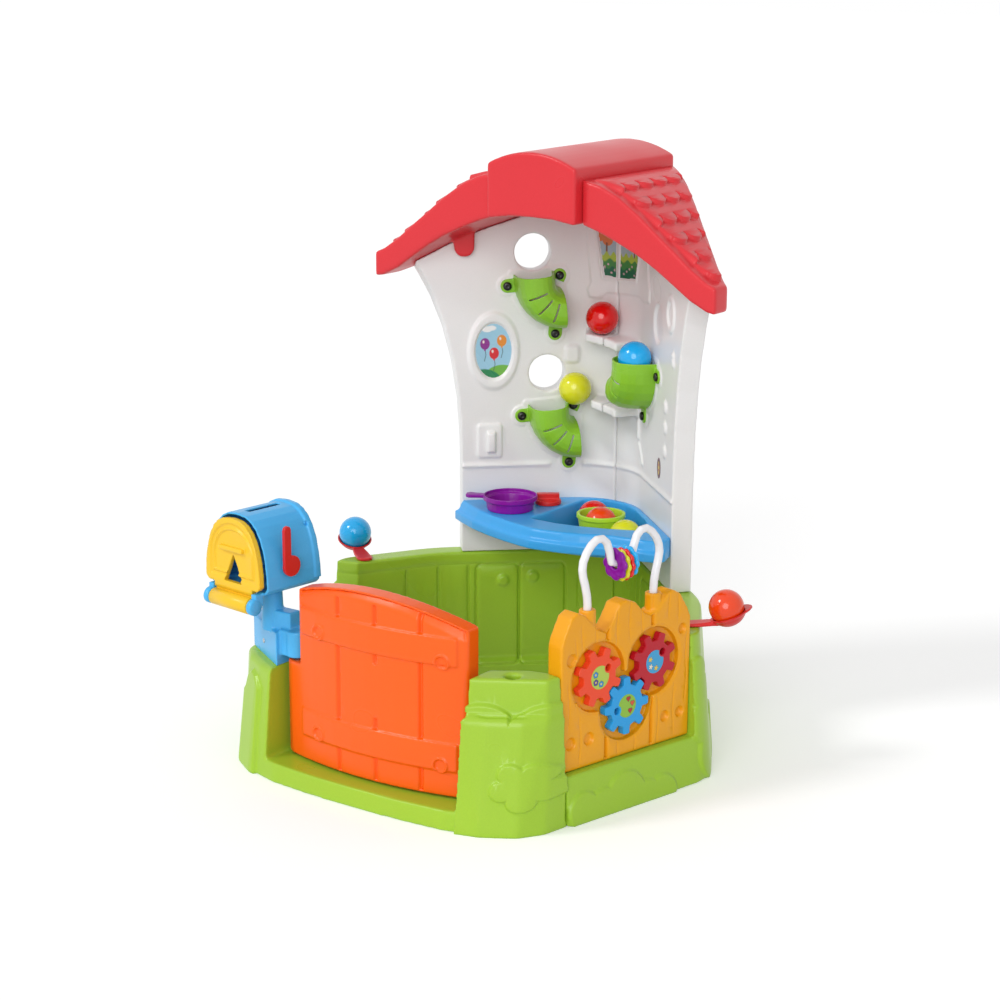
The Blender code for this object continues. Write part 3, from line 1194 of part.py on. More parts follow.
def mailbox_outline(inset):
    """Arched section of the mailbox in its XZ plane, wide at the foot."""
    points = []
    steps = 16
    for k in range(steps + 1):
        angle = math.pi * k / steps
        x = (MAILBOX_HALF - inset) * math.copysign(abs(math.cos(angle)) ** 0.75, math.cos(angle))
        rise = (MAILBOX_HEIGHT - 2 * inset) * math.sin(angle) ** 0.9
        points.append((x, MAILBOX_BOTTOM + inset + rise))
    corner = MAILBOX_WALL * 2
    low = MAILBOX_BOTTOM + inset
    points[0] = (MAILBOX_HALF - inset, low + corner)
    points[-1] = (-MAILBOX_HALF + inset, low + corner)
    return points + [(-MAILBOX_HALF + inset + corner, low), (MAILBOX_HALF - inset - corner, low)]


def upright(matrix, y):
    """Frame whose XY plane is the XZ plane of the given one, at a place along its Y."""
    return matrix @ Matrix.Translation((0.0, y, 0.0)) @ Matrix.Rotation(math.pi / 2, 4, "X")


def make_mailbox():
    frame = mailbox_matrix()
    body = plate("mailbox_body", mailbox_outline(0.0), MAILBOX_LENGTH, "mail_blue", upright(frame, 0.0))
    hollow_y = -(MAILBOX_WALL + CUT_OVERRUN) / 2
    hollow = plate("mailbox_hollow", mailbox_outline(MAILBOX_WALL), MAILBOX_LENGTH - MAILBOX_WALL + CUT_OVERRUN,
                   None, upright(frame, hollow_y))
    top = MAILBOX_BOTTOM + MAILBOX_HEIGHT
    slot = box("slot_cutter", (-MAILBOX_SLOT_WIDTH / 2, -MAILBOX_SLOT_LENGTH / 2, top - CUT_OVERRUN),
               (MAILBOX_SLOT_WIDTH / 2, MAILBOX_SLOT_LENGTH / 2, top + CUT_OVERRUN), None, frame)
    boss_frame = flag_frame()
    boss = cylinder("flag_boss_tool", FLAG_BOSS_RADIUS, -FLAG_BOSS_HEIGHT, -SEAT_GAP, None, boss_frame)
    bore = cylinder("flag_bore_cutter", HINGE_PIN_RADIUS + RUNNING_GAP, -FLAG_BOSS_HEIGHT * 0.8,
                    CUT_OVERRUN, None, boss_frame)
    cut(body, hollow, slot)
    join(body, boss)
    hinge = hinge_frame()
    reach = HINGE_HALF + HINGE_END
    inner = HINGE_HALF + RUNNING_GAP
    for sign, side in ((-1.0, "left"), (1.0, "right")):
        low, high = sorted((sign * inner, sign * reach))
        end = cylinder(f"hinge_{side}_tool", HINGE_RADIUS, low, high, None, hinge, segments=20)
        arm_front = -MAILBOX_LENGTH / 2 - FLAP_THICKNESS - HINGE_RADIUS / 2
        arm = box(f"hinge_{side}_arm_tool", (low + SEAT_GAP, arm_front, HINGE_Z),
                  (high - SEAT_GAP, MAILBOX_WALL - MAILBOX_LENGTH / 2, MAILBOX_BOTTOM + MAILBOX_WALL / 2), None,
                  frame)
        join(body, arm, end)
    pin_hole = cylinder("hinge_pin_cutter", HINGE_PIN_RADIUS + SEAT_GAP, -HINGE_HALF - HINGE_END * 0.7,
                        HINGE_HALF + HINGE_END * 0.7, None, hinge, segments=16)
    cut(body, bore, pin_hole)


def hinge_frame():
    """Frame of the flap hinge: Z runs along the hinge to the right."""
    y = -MAILBOX_LENGTH / 2 - FLAP_THICKNESS - HINGE_RADIUS * 0.4
    return mailbox_matrix() @ Matrix.Translation((0.0, y, HINGE_Z)) @ Matrix.Rotation(math.pi / 2, 4, "Y")


def flag_frame():
    """Frame of the flag's pivot: Z points away from the mailbox."""
    place = Matrix.Translation((MAILBOX_HALF + RUNNING_GAP * 2, -FLAG_KNOB_Y, FLAG_KNOB_Z))
    return mailbox_matrix() @ place @ Matrix.Rotation(math.pi / 2, 4, "Y")


def make_flap():
    frame = mailbox_matrix()
    y = -MAILBOX_LENGTH / 2 - FLAP_THICKNESS / 2 - SEAT_GAP
    outline = [(x, max(z, MAILBOX_BOTTOM)) for x, z in mailbox_outline(FLAP_MARGIN)]
    flap = plate("mailbox_flap", outline, FLAP_THICKNESS, "flap_yellow", upright(frame, y))
    middle = (0.0, TRIANGLE_Z + TRIANGLE_HEIGHT)
    triangle = [(-TRIANGLE_HALF, TRIANGLE_Z), (TRIANGLE_HALF, TRIANGLE_Z), middle]
    hole = plate("triangle_cutter", triangle, FLAP_THICKNESS + CUT_OVERRUN, None, upright(frame, y))
    hinge = hinge_frame()
    barrel = cylinder("flap_barrel_tool", HINGE_RADIUS, -HINGE_HALF, HINGE_HALF, None, hinge, segments=20)
    web_half = HINGE_HALF - SEAT_GAP
    web_depth = FLAP_THICKNESS / 2 - SEAT_GAP
    web = box("flap_web_tool", (-web_half, y - web_depth, HINGE_Z),
              (web_half, y + web_depth, MAILBOX_BOTTOM + FLAP_MARGIN + MAILBOX_WALL), None, frame)
    visor = box("visor_tool", (-TRIANGLE_HALF * 1.2, y - FLAP_THICKNESS * 1.3, TRIANGLE_Z + TRIANGLE_HEIGHT * 1.1),
                (TRIANGLE_HALF * 1.2, y, TRIANGLE_Z + TRIANGLE_HEIGHT * 1.25), None, frame)
    bore = cylinder("flap_bore_cutter", HINGE_PIN_RADIUS + RUNNING_GAP / 2, -HINGE_HALF - CUT_OVERRUN,
                    HINGE_HALF + CUT_OVERRUN, None, hinge, segments=16)
    cut(flap, hole)
    join(flap, web, barrel, visor)
    cut(flap, bore)
    set_origin(flap, hinge.translation)
    pin = cylinder("flap_hinge_pin", HINGE_PIN_RADIUS, -HINGE_HALF - HINGE_END * 0.6, HINGE_HALF + HINGE_END * 0.6,
                   "steel", hinge, segments=16)
    set_origin(pin, hinge.translation)


def make_flag():
    frame = flag_frame()
    half = FLAG_ARM_WIDTH / 2
    arm_y = FLAG_KNOB_RADIUS * 0.55
    top = FLAG_REACH
    lift = Matrix.Translation((0.0, 0.0, FLAG_THICKNESS / 2))
    disc = [(FLAG_KNOB_RADIUS * math.cos(2 * math.pi * k / 24), FLAG_KNOB_RADIUS * math.sin(2 * math.pi * k / 24))
            for k in range(24)]
    flag = plate("mailbox_flag", disc, FLAG_THICKNESS, "flag_red", frame @ lift)
    arm = [(0.0, -arm_y - half), (0.0, -arm_y + half), (-top + half, -arm_y + half),
           (-top + half * 0.3, -arm_y + half * 0.7), (-top, -arm_y), (-top + half * 0.3, -arm_y - half * 0.7),
           (-top + half, -arm_y - half)]
    join(flag, plate("flag_arm_tool", arm, FLAG_THICKNESS, None, frame @ lift))
    stem = cylinder("flag_stem_tool", HINGE_PIN_RADIUS, -FLAG_BOSS_HEIGHT * 0.6, FLAG_THICKNESS / 2, None, frame,
                    segments=16)
    join(flag, stem)
    set_origin(flag, frame.translation)


def gear_places():
    """Colour, place along the panel, height and phase of each gear."""
    return (("orange", LEFT_GEAR_S, UPPER_GEAR_Z, 0.5), ("red", RIGHT_GEAR_S, UPPER_GEAR_Z, 0.5),
            ("blue", (LEFT_GEAR_S + RIGHT_GEAR_S) / 2, LOWER_GEAR_Z, 0.0))


def gear_outline(phase_share):
    """Outline of an eight-tooth gear, turned by a share of its tooth pitch."""
    pitch = 2 * math.pi / GEAR_TEETH
    outline = []
    for tooth in range(GEAR_TEETH):
        for reach, angle_share in ((GEAR_ROOT_RADIUS, -0.28), (GEAR_TIP_RADIUS * 0.97, -0.19),
                                   (GEAR_TIP_RADIUS, -0.12), (GEAR_TIP_RADIUS, 0.12),
                                   (GEAR_TIP_RADIUS * 0.97, 0.19), (GEAR_ROOT_RADIUS, 0.28)):
            angle = pitch * (tooth + angle_share + phase_share)
            outline.append((reach * math.cos(angle), reach * math.sin(angle)))
    return outline


def make_gear_panel():
    frame = panel_matrix(-PANEL_THICKNESS / 2)
    top = [(PANEL_START + SEAT_GAP + (PANEL_LENGTH - 2 * SEAT_GAP) * share, PANEL_BOTTOM + PANEL_HEIGHT * rise)
           for share, rise in PANEL_TOP_SHARES]
    foot_low = PANEL_SILL_HEIGHT + SEAT_GAP
    outline = [(PANEL_END - SEAT_GAP, foot_low), (PANEL_START + SEAT_GAP, foot_low)] + top
    panel = plate("gear_panel", outline, PANEL_THICKNESS, "panel_yellow", frame)
    face = panel_matrix()
    sockets = []
    for name, along in (("left", rail_middle() - RAIL_LEG), ("right", rail_middle() + RAIL_LEG)):
        place = frame @ Matrix.Translation((along, 0.0, 0.0)) @ Matrix.Rotation(-math.pi / 2, 4, "X")
        sockets.append(cylinder(name + "_socket_tool", RAIL_SOCKET_RADIUS, RAIL_SOCKET_FOOT, RAIL_SOCKET_TOP, None,
                                place))
        sockets.append(cylinder(name + "_socket_cutter", RAIL_RADIUS + SEAT_GAP, RAIL_SOCKET_FOOT - SEAT_GAP,
                                RAIL_SOCKET_TOP + CUT_OVERRUN, None, place))
    join(panel, sockets[0], sockets[2])
    cut(panel, sockets[1], sockets[3])
    for colour, along, high, _ in gear_places():
        spot = face @ Matrix.Translation((along, high, 0.0))
        pocket = cylinder(colour + "_pocket_cutter", POCKET_RADIUS, -POCKET_DEPTH, CUT_OVERRUN, None, spot,
                          segments=32)
        bore = cylinder(colour + "_axle_cutter", GEAR_AXLE_RADIUS + SEAT_GAP,
                        -POCKET_DEPTH - GEAR_AXLE_BITE - SEAT_GAP, CUT_OVERRUN, None, spot, segments=16)
        cut(panel, pocket, bore)


def make_gears():
    face = panel_matrix()
    floor = -POCKET_DEPTH + RUNNING_GAP
    for colour, along, high, phase in gear_places():
        spot = face @ Matrix.Translation((along, high, floor))
        middle = spot @ Matrix.Translation((0.0, 0.0, GEAR_THICKNESS / 2))
        gear = plate(f"gear_{colour}", gear_outline(phase), GEAR_THICKNESS, "gear_" + colour, middle)
        angle = FINGER_HOLE_ANGLES[colour]
        hole = Matrix.Translation((FINGER_HOLE_OFFSET * math.cos(angle), FINGER_HOLE_OFFSET * math.sin(angle), 0.0))
        finger = cylinder(colour + "_finger_cutter", FINGER_HOLE_RADIUS, -CUT_OVERRUN,
                          GEAR_THICKNESS + CUT_OVERRUN, None, spot @ hole, segments=16)
        bore = cylinder(colour + "_hub_cutter", GEAR_AXLE_RADIUS + RUNNING_GAP, -CUT_OVERRUN, GEAR_AXLE_DEPTH,
                        None, spot, segments=16)
        cut(gear, finger, bore)
        set_origin(gear, spot.translation)
        axle = cylinder(f"axle_{colour}", GEAR_AXLE_RADIUS, -GEAR_AXLE_BITE - RUNNING_GAP,
                        GEAR_AXLE_DEPTH - RUNNING_GAP, "rail_white", spot, segments=16)
        set_origin(axle, spot.translation)


def rail_middle():
    return (LEFT_GEAR_S + RIGHT_GEAR_S) / 2 - RAIL_SHIFT


def rail_points():
    """Half of the rail goes up, bellies out, over a crest and down to the dip in the middle."""
    foot = RAIL_SOCKET_FOOT + SEAT_GAP
    right = []
    for reach, rise, belly in RAIL_SHARES:
        x = reach * RAIL_LEG + belly * RAIL_BELLY
        right.append((x, blend(foot, RAIL_CREST, rise)))
    left = [(-x, z) for x, z in right]
    middle = rail_middle()
    line = left + [(0.0, blend(foot, RAIL_CREST, RAIL_DIP_SHARE))] + right[::-1]
    return [(middle + x, z, 0.0) for x, z in line]


def make_rail():
    frame = panel_matrix(-PANEL_THICKNESS / 2)
    points = rail_points()
    tube("bead_rail", points, RAIL_RADIUS, "rail_white", frame)
    middle = len(points) // 2
    dip = [(x - rail_middle(), z) for x, z, _ in points[middle - 3:middle + 4]]
    turn = Matrix.Rotation(math.pi / 2, 4, "Y")
    for k, finish in enumerate(BEAD_FINISHES):
        away = (k - 1.5) * BEAD_PITCH
        sag = BEAD_SAG if k in (1, 2) else BEAD_SAG * BEAD_SAG_SHARE
        place = frame @ Matrix.Translation((rail_middle() + away, follow(dip, away) - sag, 0.0)) @ turn
        hole = RAIL_RADIUS + 5 * RUNNING_GAP
        half = BEAD_THICKNESS / 2
        profile = [(hole, half), (BEAD_RADIUS - half, half), (BEAD_RADIUS, 0.0), (BEAD_RADIUS - half, -half),
                   (hole, -half), (hole, half)]
        turned(f"bead_{k + 1}", profile, finish, place)


def spoon_bowl(name, place):
    """Shallow cup that stands on the spoon's plate and follows the ball."""
    sphere = BALL_RADIUS + SEAT_GAP
    outer = sphere + SPOON_CUP_WALL
    centre_z = SPOON_FLOOR + sphere
    profile = []
    steps = 5
    rim_angle = math.acos((centre_z - SPOON_RIM_HEIGHT) / sphere)
    for k in range(steps + 1):
        angle = rim_angle * k / steps
        profile.append((sphere * math.sin(angle), centre_z - sphere * math.cos(angle)))
    first = math.acos((centre_z - SPOON_RIM_HEIGHT) / outer)
    last = math.acos((centre_z - SPOON_THICKNESS) / outer)
    for k in range(steps):
        angle = blend(first, last, k / (steps - 1))
        profile.append((outer * math.sin(angle), centre_z - outer * math.cos(angle)))
    profile += [(profile[-1][0], SEAT_GAP), (0.0, SEAT_GAP)]
    return turned(name, profile, None, place, segments=24)


def make_spoons():
    for side_name, side in (("left", -1), ("right", 1)):
        name = "spoon_" + side_name
        turn = Matrix.Rotation(SPOON_ANGLE, 4, "Z")
        flip = Matrix.Diagonal((side, 1.0, 1.0, 1.0))
        spot = corner_centre(SIDE_CORNER_RADIUS)
        spot += side_normal() * SPOON_SEAT_OUT + side_direction() * SPOON_SEAT_BEHIND
        spot.z = TALL_WALL_HEIGHT + SEAT_GAP
        frame = flip @ Matrix.Translation(spot) @ turn
        cup = frame @ Matrix.Translation((SPOON_REACH, 0.0, 0.0))
        half = SPOON_SEAT_RADIUS
        collar = SPOON_COLLAR
        outline = [(-half, -half * 0.6), (-half * 0.6, -half), (half, -half * 0.9),
                   (SPOON_REACH - collar * 0.9, -half * 0.6)]
        for k in range(9):
            angle = blend(math.radians(-150.0), math.radians(-20.0), k / 8)
            outline.append((SPOON_REACH + collar * math.cos(angle), collar * math.sin(angle)))
        outline.append((SPOON_REACH + collar + SPOON_TIP, -half * 0.25))
        outline += [(x, -y) for x, y in reversed(outline)]
        mid = Matrix.Translation((0.0, 0.0, SPOON_THICKNESS / 2))
        spoon = plate(name, outline, SPOON_THICKNESS, "flag_red", frame @ mid)
        well = cylinder(name + "_well_cutter", BALL_RADIUS / 2, -CUT_OVERRUN, CUT_OVERRUN, None, cup)
        hole = cylinder(name + "_screw_cutter", SPOON_SCREW_RADIUS + SEAT_GAP, -CUT_OVERRUN, CUT_OVERRUN, None,
                        frame, segments=12)
        cut(spoon, well, hole)
        join(spoon, spoon_bowl(name + "_bowl_tool", Matrix.Translation(cup.translation)))
        cylinder(name + "_screw", SPOON_SCREW_RADIUS, 0.0, SPOON_THICKNESS, "steel", frame, segments=12)
        place = cup.translation + Vector((0.0, 0.0, SPOON_FLOOR + BALL_RADIUS + 2 * SEAT_GAP))
        ball(f"ball_{side_name}_spoon", place, "ball_blue" if side < 0 else "ball_orange")


def make_wall_balls():
    floor = COUNTER_TOP - SINK_DEPTH + SEAT_GAP
    touch = BALL_RADIUS + 3 * SEAT_GAP
    corner = WALL_FACE_RADIUS - touch
    angle = math.radians(-9.0)
    shelf_top = UPPER_SHELF_Z + SHELF_FALL * abs(angle) / SHELF_ANGLE
    ball("ball_on_shelf", back_centre() + Vector((corner * math.sin(angle), corner * math.cos(angle),
                                                  shelf_top + touch)), "ball_red")
    ball("ball_on_lower_funnel", funnel_matrix(FUNNELS[1]) @ Vector(LOWER_FUNNEL_BALL), "ball_yellow")
    ball("ball_in_right_funnel", funnel_matrix(FUNNELS[2]) @ Vector(RIGHT_FUNNEL_BALL), "ball_blue")
    ball("ball_in_cup", counter_place(CUP_X, CUP_BEHIND, floor + CUP_FLOOR + touch), "ball_orange")
    for name, turn, finish in (("ball_sink_red", RED_BALL_ANGLE, "ball_red"),
                               ("ball_sink_lime", LIME_BALL_ANGLE, "ball_yellow")):
        x = CUP_X + BESIDE_CUP * math.cos(turn)
        behind = CUP_BEHIND + BESIDE_CUP * math.sin(turn)
        ball(name, counter_place(x, behind, floor + BALL_RADIUS + SEAT_GAP), finish)


def make_screw():
    """Screw in the front of the bracket."""
    front = column_outline(1.0, 0.0)
    a, b = Vector(front[1]), Vector(front[2])
    middle = (a + b) / 2
    along = (b - a).normalized()
    normal = Vector((along.y, -along.x, 0.0))
    if normal.y > 0.0:
        normal = -normal
    across = Vector((0.0, 0.0, 1.0))
    x_axis = across.cross(normal)
    place = frame_matrix(x_axis, across, normal, Vector((middle.x, middle.y, blend(BRACKET_FOOT, BRACKET_TOP, 0.45))))
    cylinder("bracket_screw", SCREW_HEAD_RADIUS, SEAT_GAP, SCREW_HEAD_HEIGHT, "steel", place, segments=12)


def main():
    make_base_front()
    make_base_side("base_left", -1, LOW_WALL_HEIGHT)
    make_base_side("base_right", 1, PANEL_SILL_HEIGHT)
    make_walls()
    make_roof_wing("roof_wing_left", -1)
    make_roof_wing("roof_wing_right", 1)
    make_ridge()
    make_counter()
    make_pan()
    make_cup()
    make_knob()
    make_funnels()
    make_door()
    make_bracket()
    make_mailbox()
    make_flap()
    make_flag()
    make_gear_panel()
    make_gears()
    make_rail()
    make_spoons()
    make_wall_balls()
    make_screw()


remove_old_objects()
PARTS = new_collection("toddler_playhouse")
TOOLS = new_collection("cutters")
main()
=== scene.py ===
"""Looks of the toddler playhouse: moulded surfaces, reliefs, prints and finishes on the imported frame.

Metres, +Z up, origin on the floor under the middle of the doorway sill, as in the frame.
Each moulded shell is a copy of its solid, remeshed, softened and pressed with its relief.
"""
import json
import math

import bmesh
import bpy
import numpy as np
from mathutils import Matrix, Vector


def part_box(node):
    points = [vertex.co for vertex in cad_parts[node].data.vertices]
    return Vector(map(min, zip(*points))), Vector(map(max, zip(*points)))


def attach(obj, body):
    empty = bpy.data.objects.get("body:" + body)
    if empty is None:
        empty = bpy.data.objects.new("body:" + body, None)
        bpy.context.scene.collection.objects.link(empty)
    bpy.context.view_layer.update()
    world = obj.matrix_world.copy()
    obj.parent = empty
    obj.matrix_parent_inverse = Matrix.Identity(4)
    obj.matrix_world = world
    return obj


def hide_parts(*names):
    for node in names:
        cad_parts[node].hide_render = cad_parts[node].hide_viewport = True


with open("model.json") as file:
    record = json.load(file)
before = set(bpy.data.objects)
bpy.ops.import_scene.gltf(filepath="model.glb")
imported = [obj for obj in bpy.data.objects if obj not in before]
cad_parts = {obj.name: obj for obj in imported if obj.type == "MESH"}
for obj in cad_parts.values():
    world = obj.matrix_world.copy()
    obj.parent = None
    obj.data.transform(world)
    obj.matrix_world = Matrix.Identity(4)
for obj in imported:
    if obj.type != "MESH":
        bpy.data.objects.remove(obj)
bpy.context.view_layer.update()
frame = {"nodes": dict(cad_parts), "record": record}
# A distance past every shape
FAR_OFF = 9.0

# Camera, fitted to the photograph
CAMERA_AZIMUTH = math.radians(35.65)
CAMERA_ELEVATION = math.radians(14.37)
CAMERA_ROLL = math.radians(0.22)
CAMERA_PLACE = (2.3966, -2.9705, 1.5157)
CAMERA_LENS = 82.9
CAMERA_SENSOR = 36.0

# Light
KEY_FROM = Vector((-0.46, -0.64, 0.70))
KEY_STRENGTH = 0.90
KEY_ANGLE = math.radians(14.0)
FILL_FROM = Vector((0.35, -0.80, 0.35))
FILL_STRENGTH = 1.30
FILL_ANGLE = math.radians(36.0)
SKY_STRENGTH = 0.56
FLOOR_COLOUR = (0.90, 0.90, 0.90, 1.0)
FLOOR_LIFT = 0.24
FLOOR_REACH = 30.0

# Plan of the house
COLUMN_CORNER_X = 0.329
COLUMN_CORNER_Y = 0.054
SIDE_ANGLE = math.radians(77.0)
REAR_ANGLE = math.radians(43.0)
BACK_CENTRE_Y = 0.640
WALL_FACE_RADIUS = 0.122
CORNER_RUN = WALL_FACE_RADIUS * REAR_ANGLE
DOORWAY_HALF = 0.214
SIDE_RUN = Vector((math.cos(SIDE_ANGLE), math.sin(SIDE_ANGLE), 0.0))
SIDE_OUT = Vector((math.sin(SIDE_ANGLE), -math.cos(SIDE_ANGLE), 0.0))

# Gears, beads, spoons and stickers
GEAR_PLACES = {"orange": (0.118, 0.245), "red": (0.250, 0.245), "blue": (0.184, 0.17877)}
POCKET_RADIUS = 0.0625
FINGER_REACH = 0.024
FINGER_TURNS = {"orange": math.radians(35.0), "red": math.radians(38.0), "blue": math.radians(192.0)}
STICKER_RADIUS = 0.021
STICKER_BITE = 0.0095
MOTIF_REACH = 0.0125
MOTIF_STEP = 1.15
RAIL_RADIUS = 0.0075
SPOON_INNER = 0.0333
SPOON_WALL = 0.0028
SPOON_LIP = 0.0035
SPOON_RIM = math.radians(66.0)
SPOON_TILT = math.radians(-20.0)
SPOON_VOXEL = 0.0009
SPOON_ROUNDS = 8
SPOON_KEEP = 0.4


def smooth_step(share):
    share = np.clip(share, 0.0, 1.0)
    return share * share * (3.0 - 2.0 * share)


def ramp(value, start, width=0.3):
    """0 up to a start, rising to 1 across a width."""
    return smooth_step((value - start) / width)


def inside(distance, edge=0.004):
    """1 where the distance to a shape's outline is below zero, falling to 0 across a soft edge."""
    return smooth_step(0.5 - distance / edge)


def line(distance, width):
    """1 on a line and 0 at its width's half away from it."""
    return smooth_step(1.0 - np.abs(distance) / (width / 2))


def oval(u, v, centre, half):
    reach = np.hypot((u - centre[0]) / half[0], (v - centre[1]) / half[1])
    return (reach - 1.0) * min(half)


def tile(u, v, centre, half, corner=0.006):
    """Distance to a rectangle with round corners."""
    du = np.abs(u - centre[0]) - half[0] + corner
    dv = np.abs(v - centre[1]) - half[1] + corner
    return np.hypot(np.maximum(du, 0.0), np.maximum(dv, 0.0)) + np.minimum(np.maximum(du, dv), 0.0) - corner


def stroke(u, v, points):
    """Distance to a line through the points."""
    best = np.full(np.shape(u), FAR_OFF)
    for (u0, v0), (u1, v1) in zip(points, points[1:]):
        du, dv = u1 - u0, v1 - v0
        share = np.clip(((u - u0) * du + (v - v0) * dv) / (du * du + dv * dv), 0.0, 1.0)
        best = np.minimum(best, np.hypot(u - u0 - share * du, v - v0 - share * dv))
    return best


def area(u, v, points):
    """Distance to a closed outline, below zero inside it."""
    edge = stroke(u, v, list(points) + [points[0]])
    within = np.zeros(np.shape(u), bool)
    for (u0, v0), (u1, v1) in zip(points, points[1:] + points[:1]):
        if v0 != v1:
            crosses = (v0 > v) != (v1 > v)
            within ^= crosses & (u < (u1 - u0) * (v - v0) / (v1 - v0) + u0)
    return np.where(within, -edge, edge)


def blob(u, v, circles):
    """Distance to the union of circles, each (centre u, centre v, radius)."""
    best = np.full(np.shape(u), FAR_OFF)
    for cu, cv, radius in circles:
        best = np.minimum(best, np.hypot(u - cu, v - cv) - radius)
    return best


def polar(reach, angle, centre=(0.0, 0.0)):
    return centre[0] + reach * math.cos(angle), centre[1] + reach * math.sin(angle)


def flower(u, v, centre, petal, reach, count, turn=0.0):
    """Distance to a round flower of some petals."""
    petals = [(*polar(reach, turn + 2 * math.pi * k / count, centre), petal) for k in range(count)]
    return blob(u, v, [(*centre, reach)] + petals)


def side_place(points, side):
    """Run along a side wall, height, and distance outward from its outer face; the face's direction."""
    x = points[:, 0] * side - COLUMN_CORNER_X
    y = points[:, 1] - COLUMN_CORNER_Y
    along = x * math.cos(SIDE_ANGLE) + y * math.sin(SIDE_ANGLE)
    out = x * math.sin(SIDE_ANGLE) - y * math.cos(SIDE_ANGLE)
    direction = np.array((side * math.sin(SIDE_ANGLE), -math.cos(SIDE_ANGLE), 0.0))
    return along, points[:, 2], out, np.tile(direction, (len(points), 1))


def wall_place(points):
    """Run along the rear wall from the middle of the back corner, height, distance from the corner's
    centre line, and the outward direction. The run is measured on the white wall's inner face."""
    x, y = points[:, 0], points[:, 1] - BACK_CENTRE_Y
    turn = np.arctan2(x, y)
    side = np.where(x < 0.0, -1.0, 1.0)
    bent = np.abs(turn) <= REAR_ANGLE
    along = side * x * math.cos(REAR_ANGLE) - y * math.sin(REAR_ANGLE)
    out = side * x * math.sin(REAR_ANGLE) + y * math.cos(REAR_ANGLE)
    run = np.where(bent, WALL_FACE_RADIUS * turn, side * (along + CORNER_RUN))
    out = np.where(bent, np.hypot(x, y), out)
    angle = np.where(bent, turn, side * REAR_ANGLE)
    direction = np.stack((np.sin(angle), np.cos(angle), np.zeros(len(points))), axis=1)
    return run, points[:, 2], out, direction


def wall_point(run, height, out):
    """Place of a run, height and distance from the corner's centre line."""
    side = -1.0 if run < 0.0 else 1.0
    if abs(run) <= CORNER_RUN:
        turn = run / WALL_FACE_RADIUS
        return Vector((out * math.sin(turn), BACK_CENTRE_Y + out * math.cos(turn), height))
    along = abs(run) - CORNER_RUN
    x = along * math.cos(REAR_ANGLE) + out * math.sin(REAR_ANGLE)
    y = out * math.cos(REAR_ANGLE) - along * math.sin(REAR_ANGLE)
    return Vector((side * x, BACK_CENTRE_Y + y, height))


def coordinates(mesh, key="co"):
    """Rows of the places of a mesh's points, or of their normals with the key normal."""
    rows = np.zeros(len(mesh.vertices) * 3, np.float32)
    mesh.vertices.foreach_get(key, rows)
    return rows.reshape(-1, 3).astype(float)


def write_coordinates(mesh, points):
    mesh.vertices.foreach_set("co", points.astype(np.float32).ravel())
    mesh.update()


def solid_points(node):
    return coordinates(frame["nodes"][node].data)


def closed_mesh(name, spots, faces, place=Matrix.Identity(4)):
    """Placed mesh of points and faces, with all its faces turned outward."""
    mesh = bpy.data.meshes.new(name)
    mesh.from_pydata(spots, [], faces)
    build = bmesh.new()
    build.from_mesh(mesh)
    bmesh.ops.recalc_face_normals(build, faces=build.faces)
    build.transform(place)
    build.to_mesh(mesh)
    build.free()
    return mesh


def modify(piece, kind, **settings):
    made = piece.modifiers.new(kind.lower(), kind)
    for key, value in settings.items():
        setattr(made, key, value)


def dress(mesh, material):
    """Gives a mesh one material and smooth shading."""
    mesh.materials.clear()
    mesh.materials.append(material)
    mesh.shade_smooth()


def settle(piece):
    """Applies the piece's modifiers."""
    graph = bpy.context.evaluated_depsgraph_get()
    mesh = bpy.data.meshes.new_from_object(piece.evaluated_get(graph))
    old = piece.data
    piece.modifiers.clear()
    piece.data = mesh
    bpy.data.meshes.remove(old)


def show(name, data):
    """New object in the scene."""
    made = bpy.data.objects.new(name, data)
    bpy.context.scene.collection.objects.link(made)
    return made


def mesh_from(build, name):
    mesh = bpy.data.meshes.new(name)
    build.to_mesh(mesh)
    build.free()
    return mesh


def new_piece(name, mesh, material):
    dress(mesh, material)
    return show(name, mesh)


def stand_for(piece, *nodes, slot=None):
    """The piece rides with the first node's body and hides the nodes."""
    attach(piece, BODY_OF[nodes[0]])
    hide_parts(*nodes)
    slot or SLOT_OF[nodes[0]]
    return piece


def shell(node, voxel, rounds, keep, relief):
    """Moulded copy of a solid: remeshed, softened, pressed with its relief, and thinned out again."""
    mesh = frame["nodes"][node].data.copy()
    piece = new_piece(node + "_skin", mesh, finish(SLOT_OF[node]))
    modify(piece, "REMESH", mode="VOXEL", voxel_size=voxel)
    modify(piece, "SMOOTH", iterations=rounds)
    settle(piece)
    if relief:
        points = coordinates(piece.data)
        points += relief(points, coordinates(piece.data, "normal"))
        points[:, 2] = np.maximum(points[:, 2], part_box(node)[0][2])
        write_coordinates(piece.data, points)
    modify(piece, "DECIMATE", ratio=keep)
    settle(piece)
    dress(piece.data, finish(SLOT_OF[node]))
    return stand_for(piece, node)


def facing(found, direction, least=0.45):
    """How far surfaces face a direction, 0 to 1."""
    return ramp(np.sum(found * direction, axis=1), least)


def add_node(tree, kind, **inputs):
    made = tree.nodes.new("ShaderNode" + kind)
    for key, value in inputs.items():
        made.inputs[key.replace("_", " ")].default_value = value
    return made


def mix_colours(tree, kind, share, first, second):
    """Mixed colour of two colours; each input is a value or another node's output."""
    made = add_node(tree, "Mix")
    made.data_type = "RGBA"
    made.blend_type = kind
    for key, given in (("Factor", share), ("A", first), ("B", second)):
        if isinstance(given, bpy.types.NodeSocket):
            tree.links.new(given, made.inputs[key])
        else:
            made.inputs[key].default_value = given
    return made.outputs["Result"]


MADE = {}
# Linear light that the gloss adds to a colour, taken off its base colour
GLOSS_HAZE = 0.022
SPECULAR = 0.36
DARKEST = 0.004
COAT_ROUGHNESS = 0.08
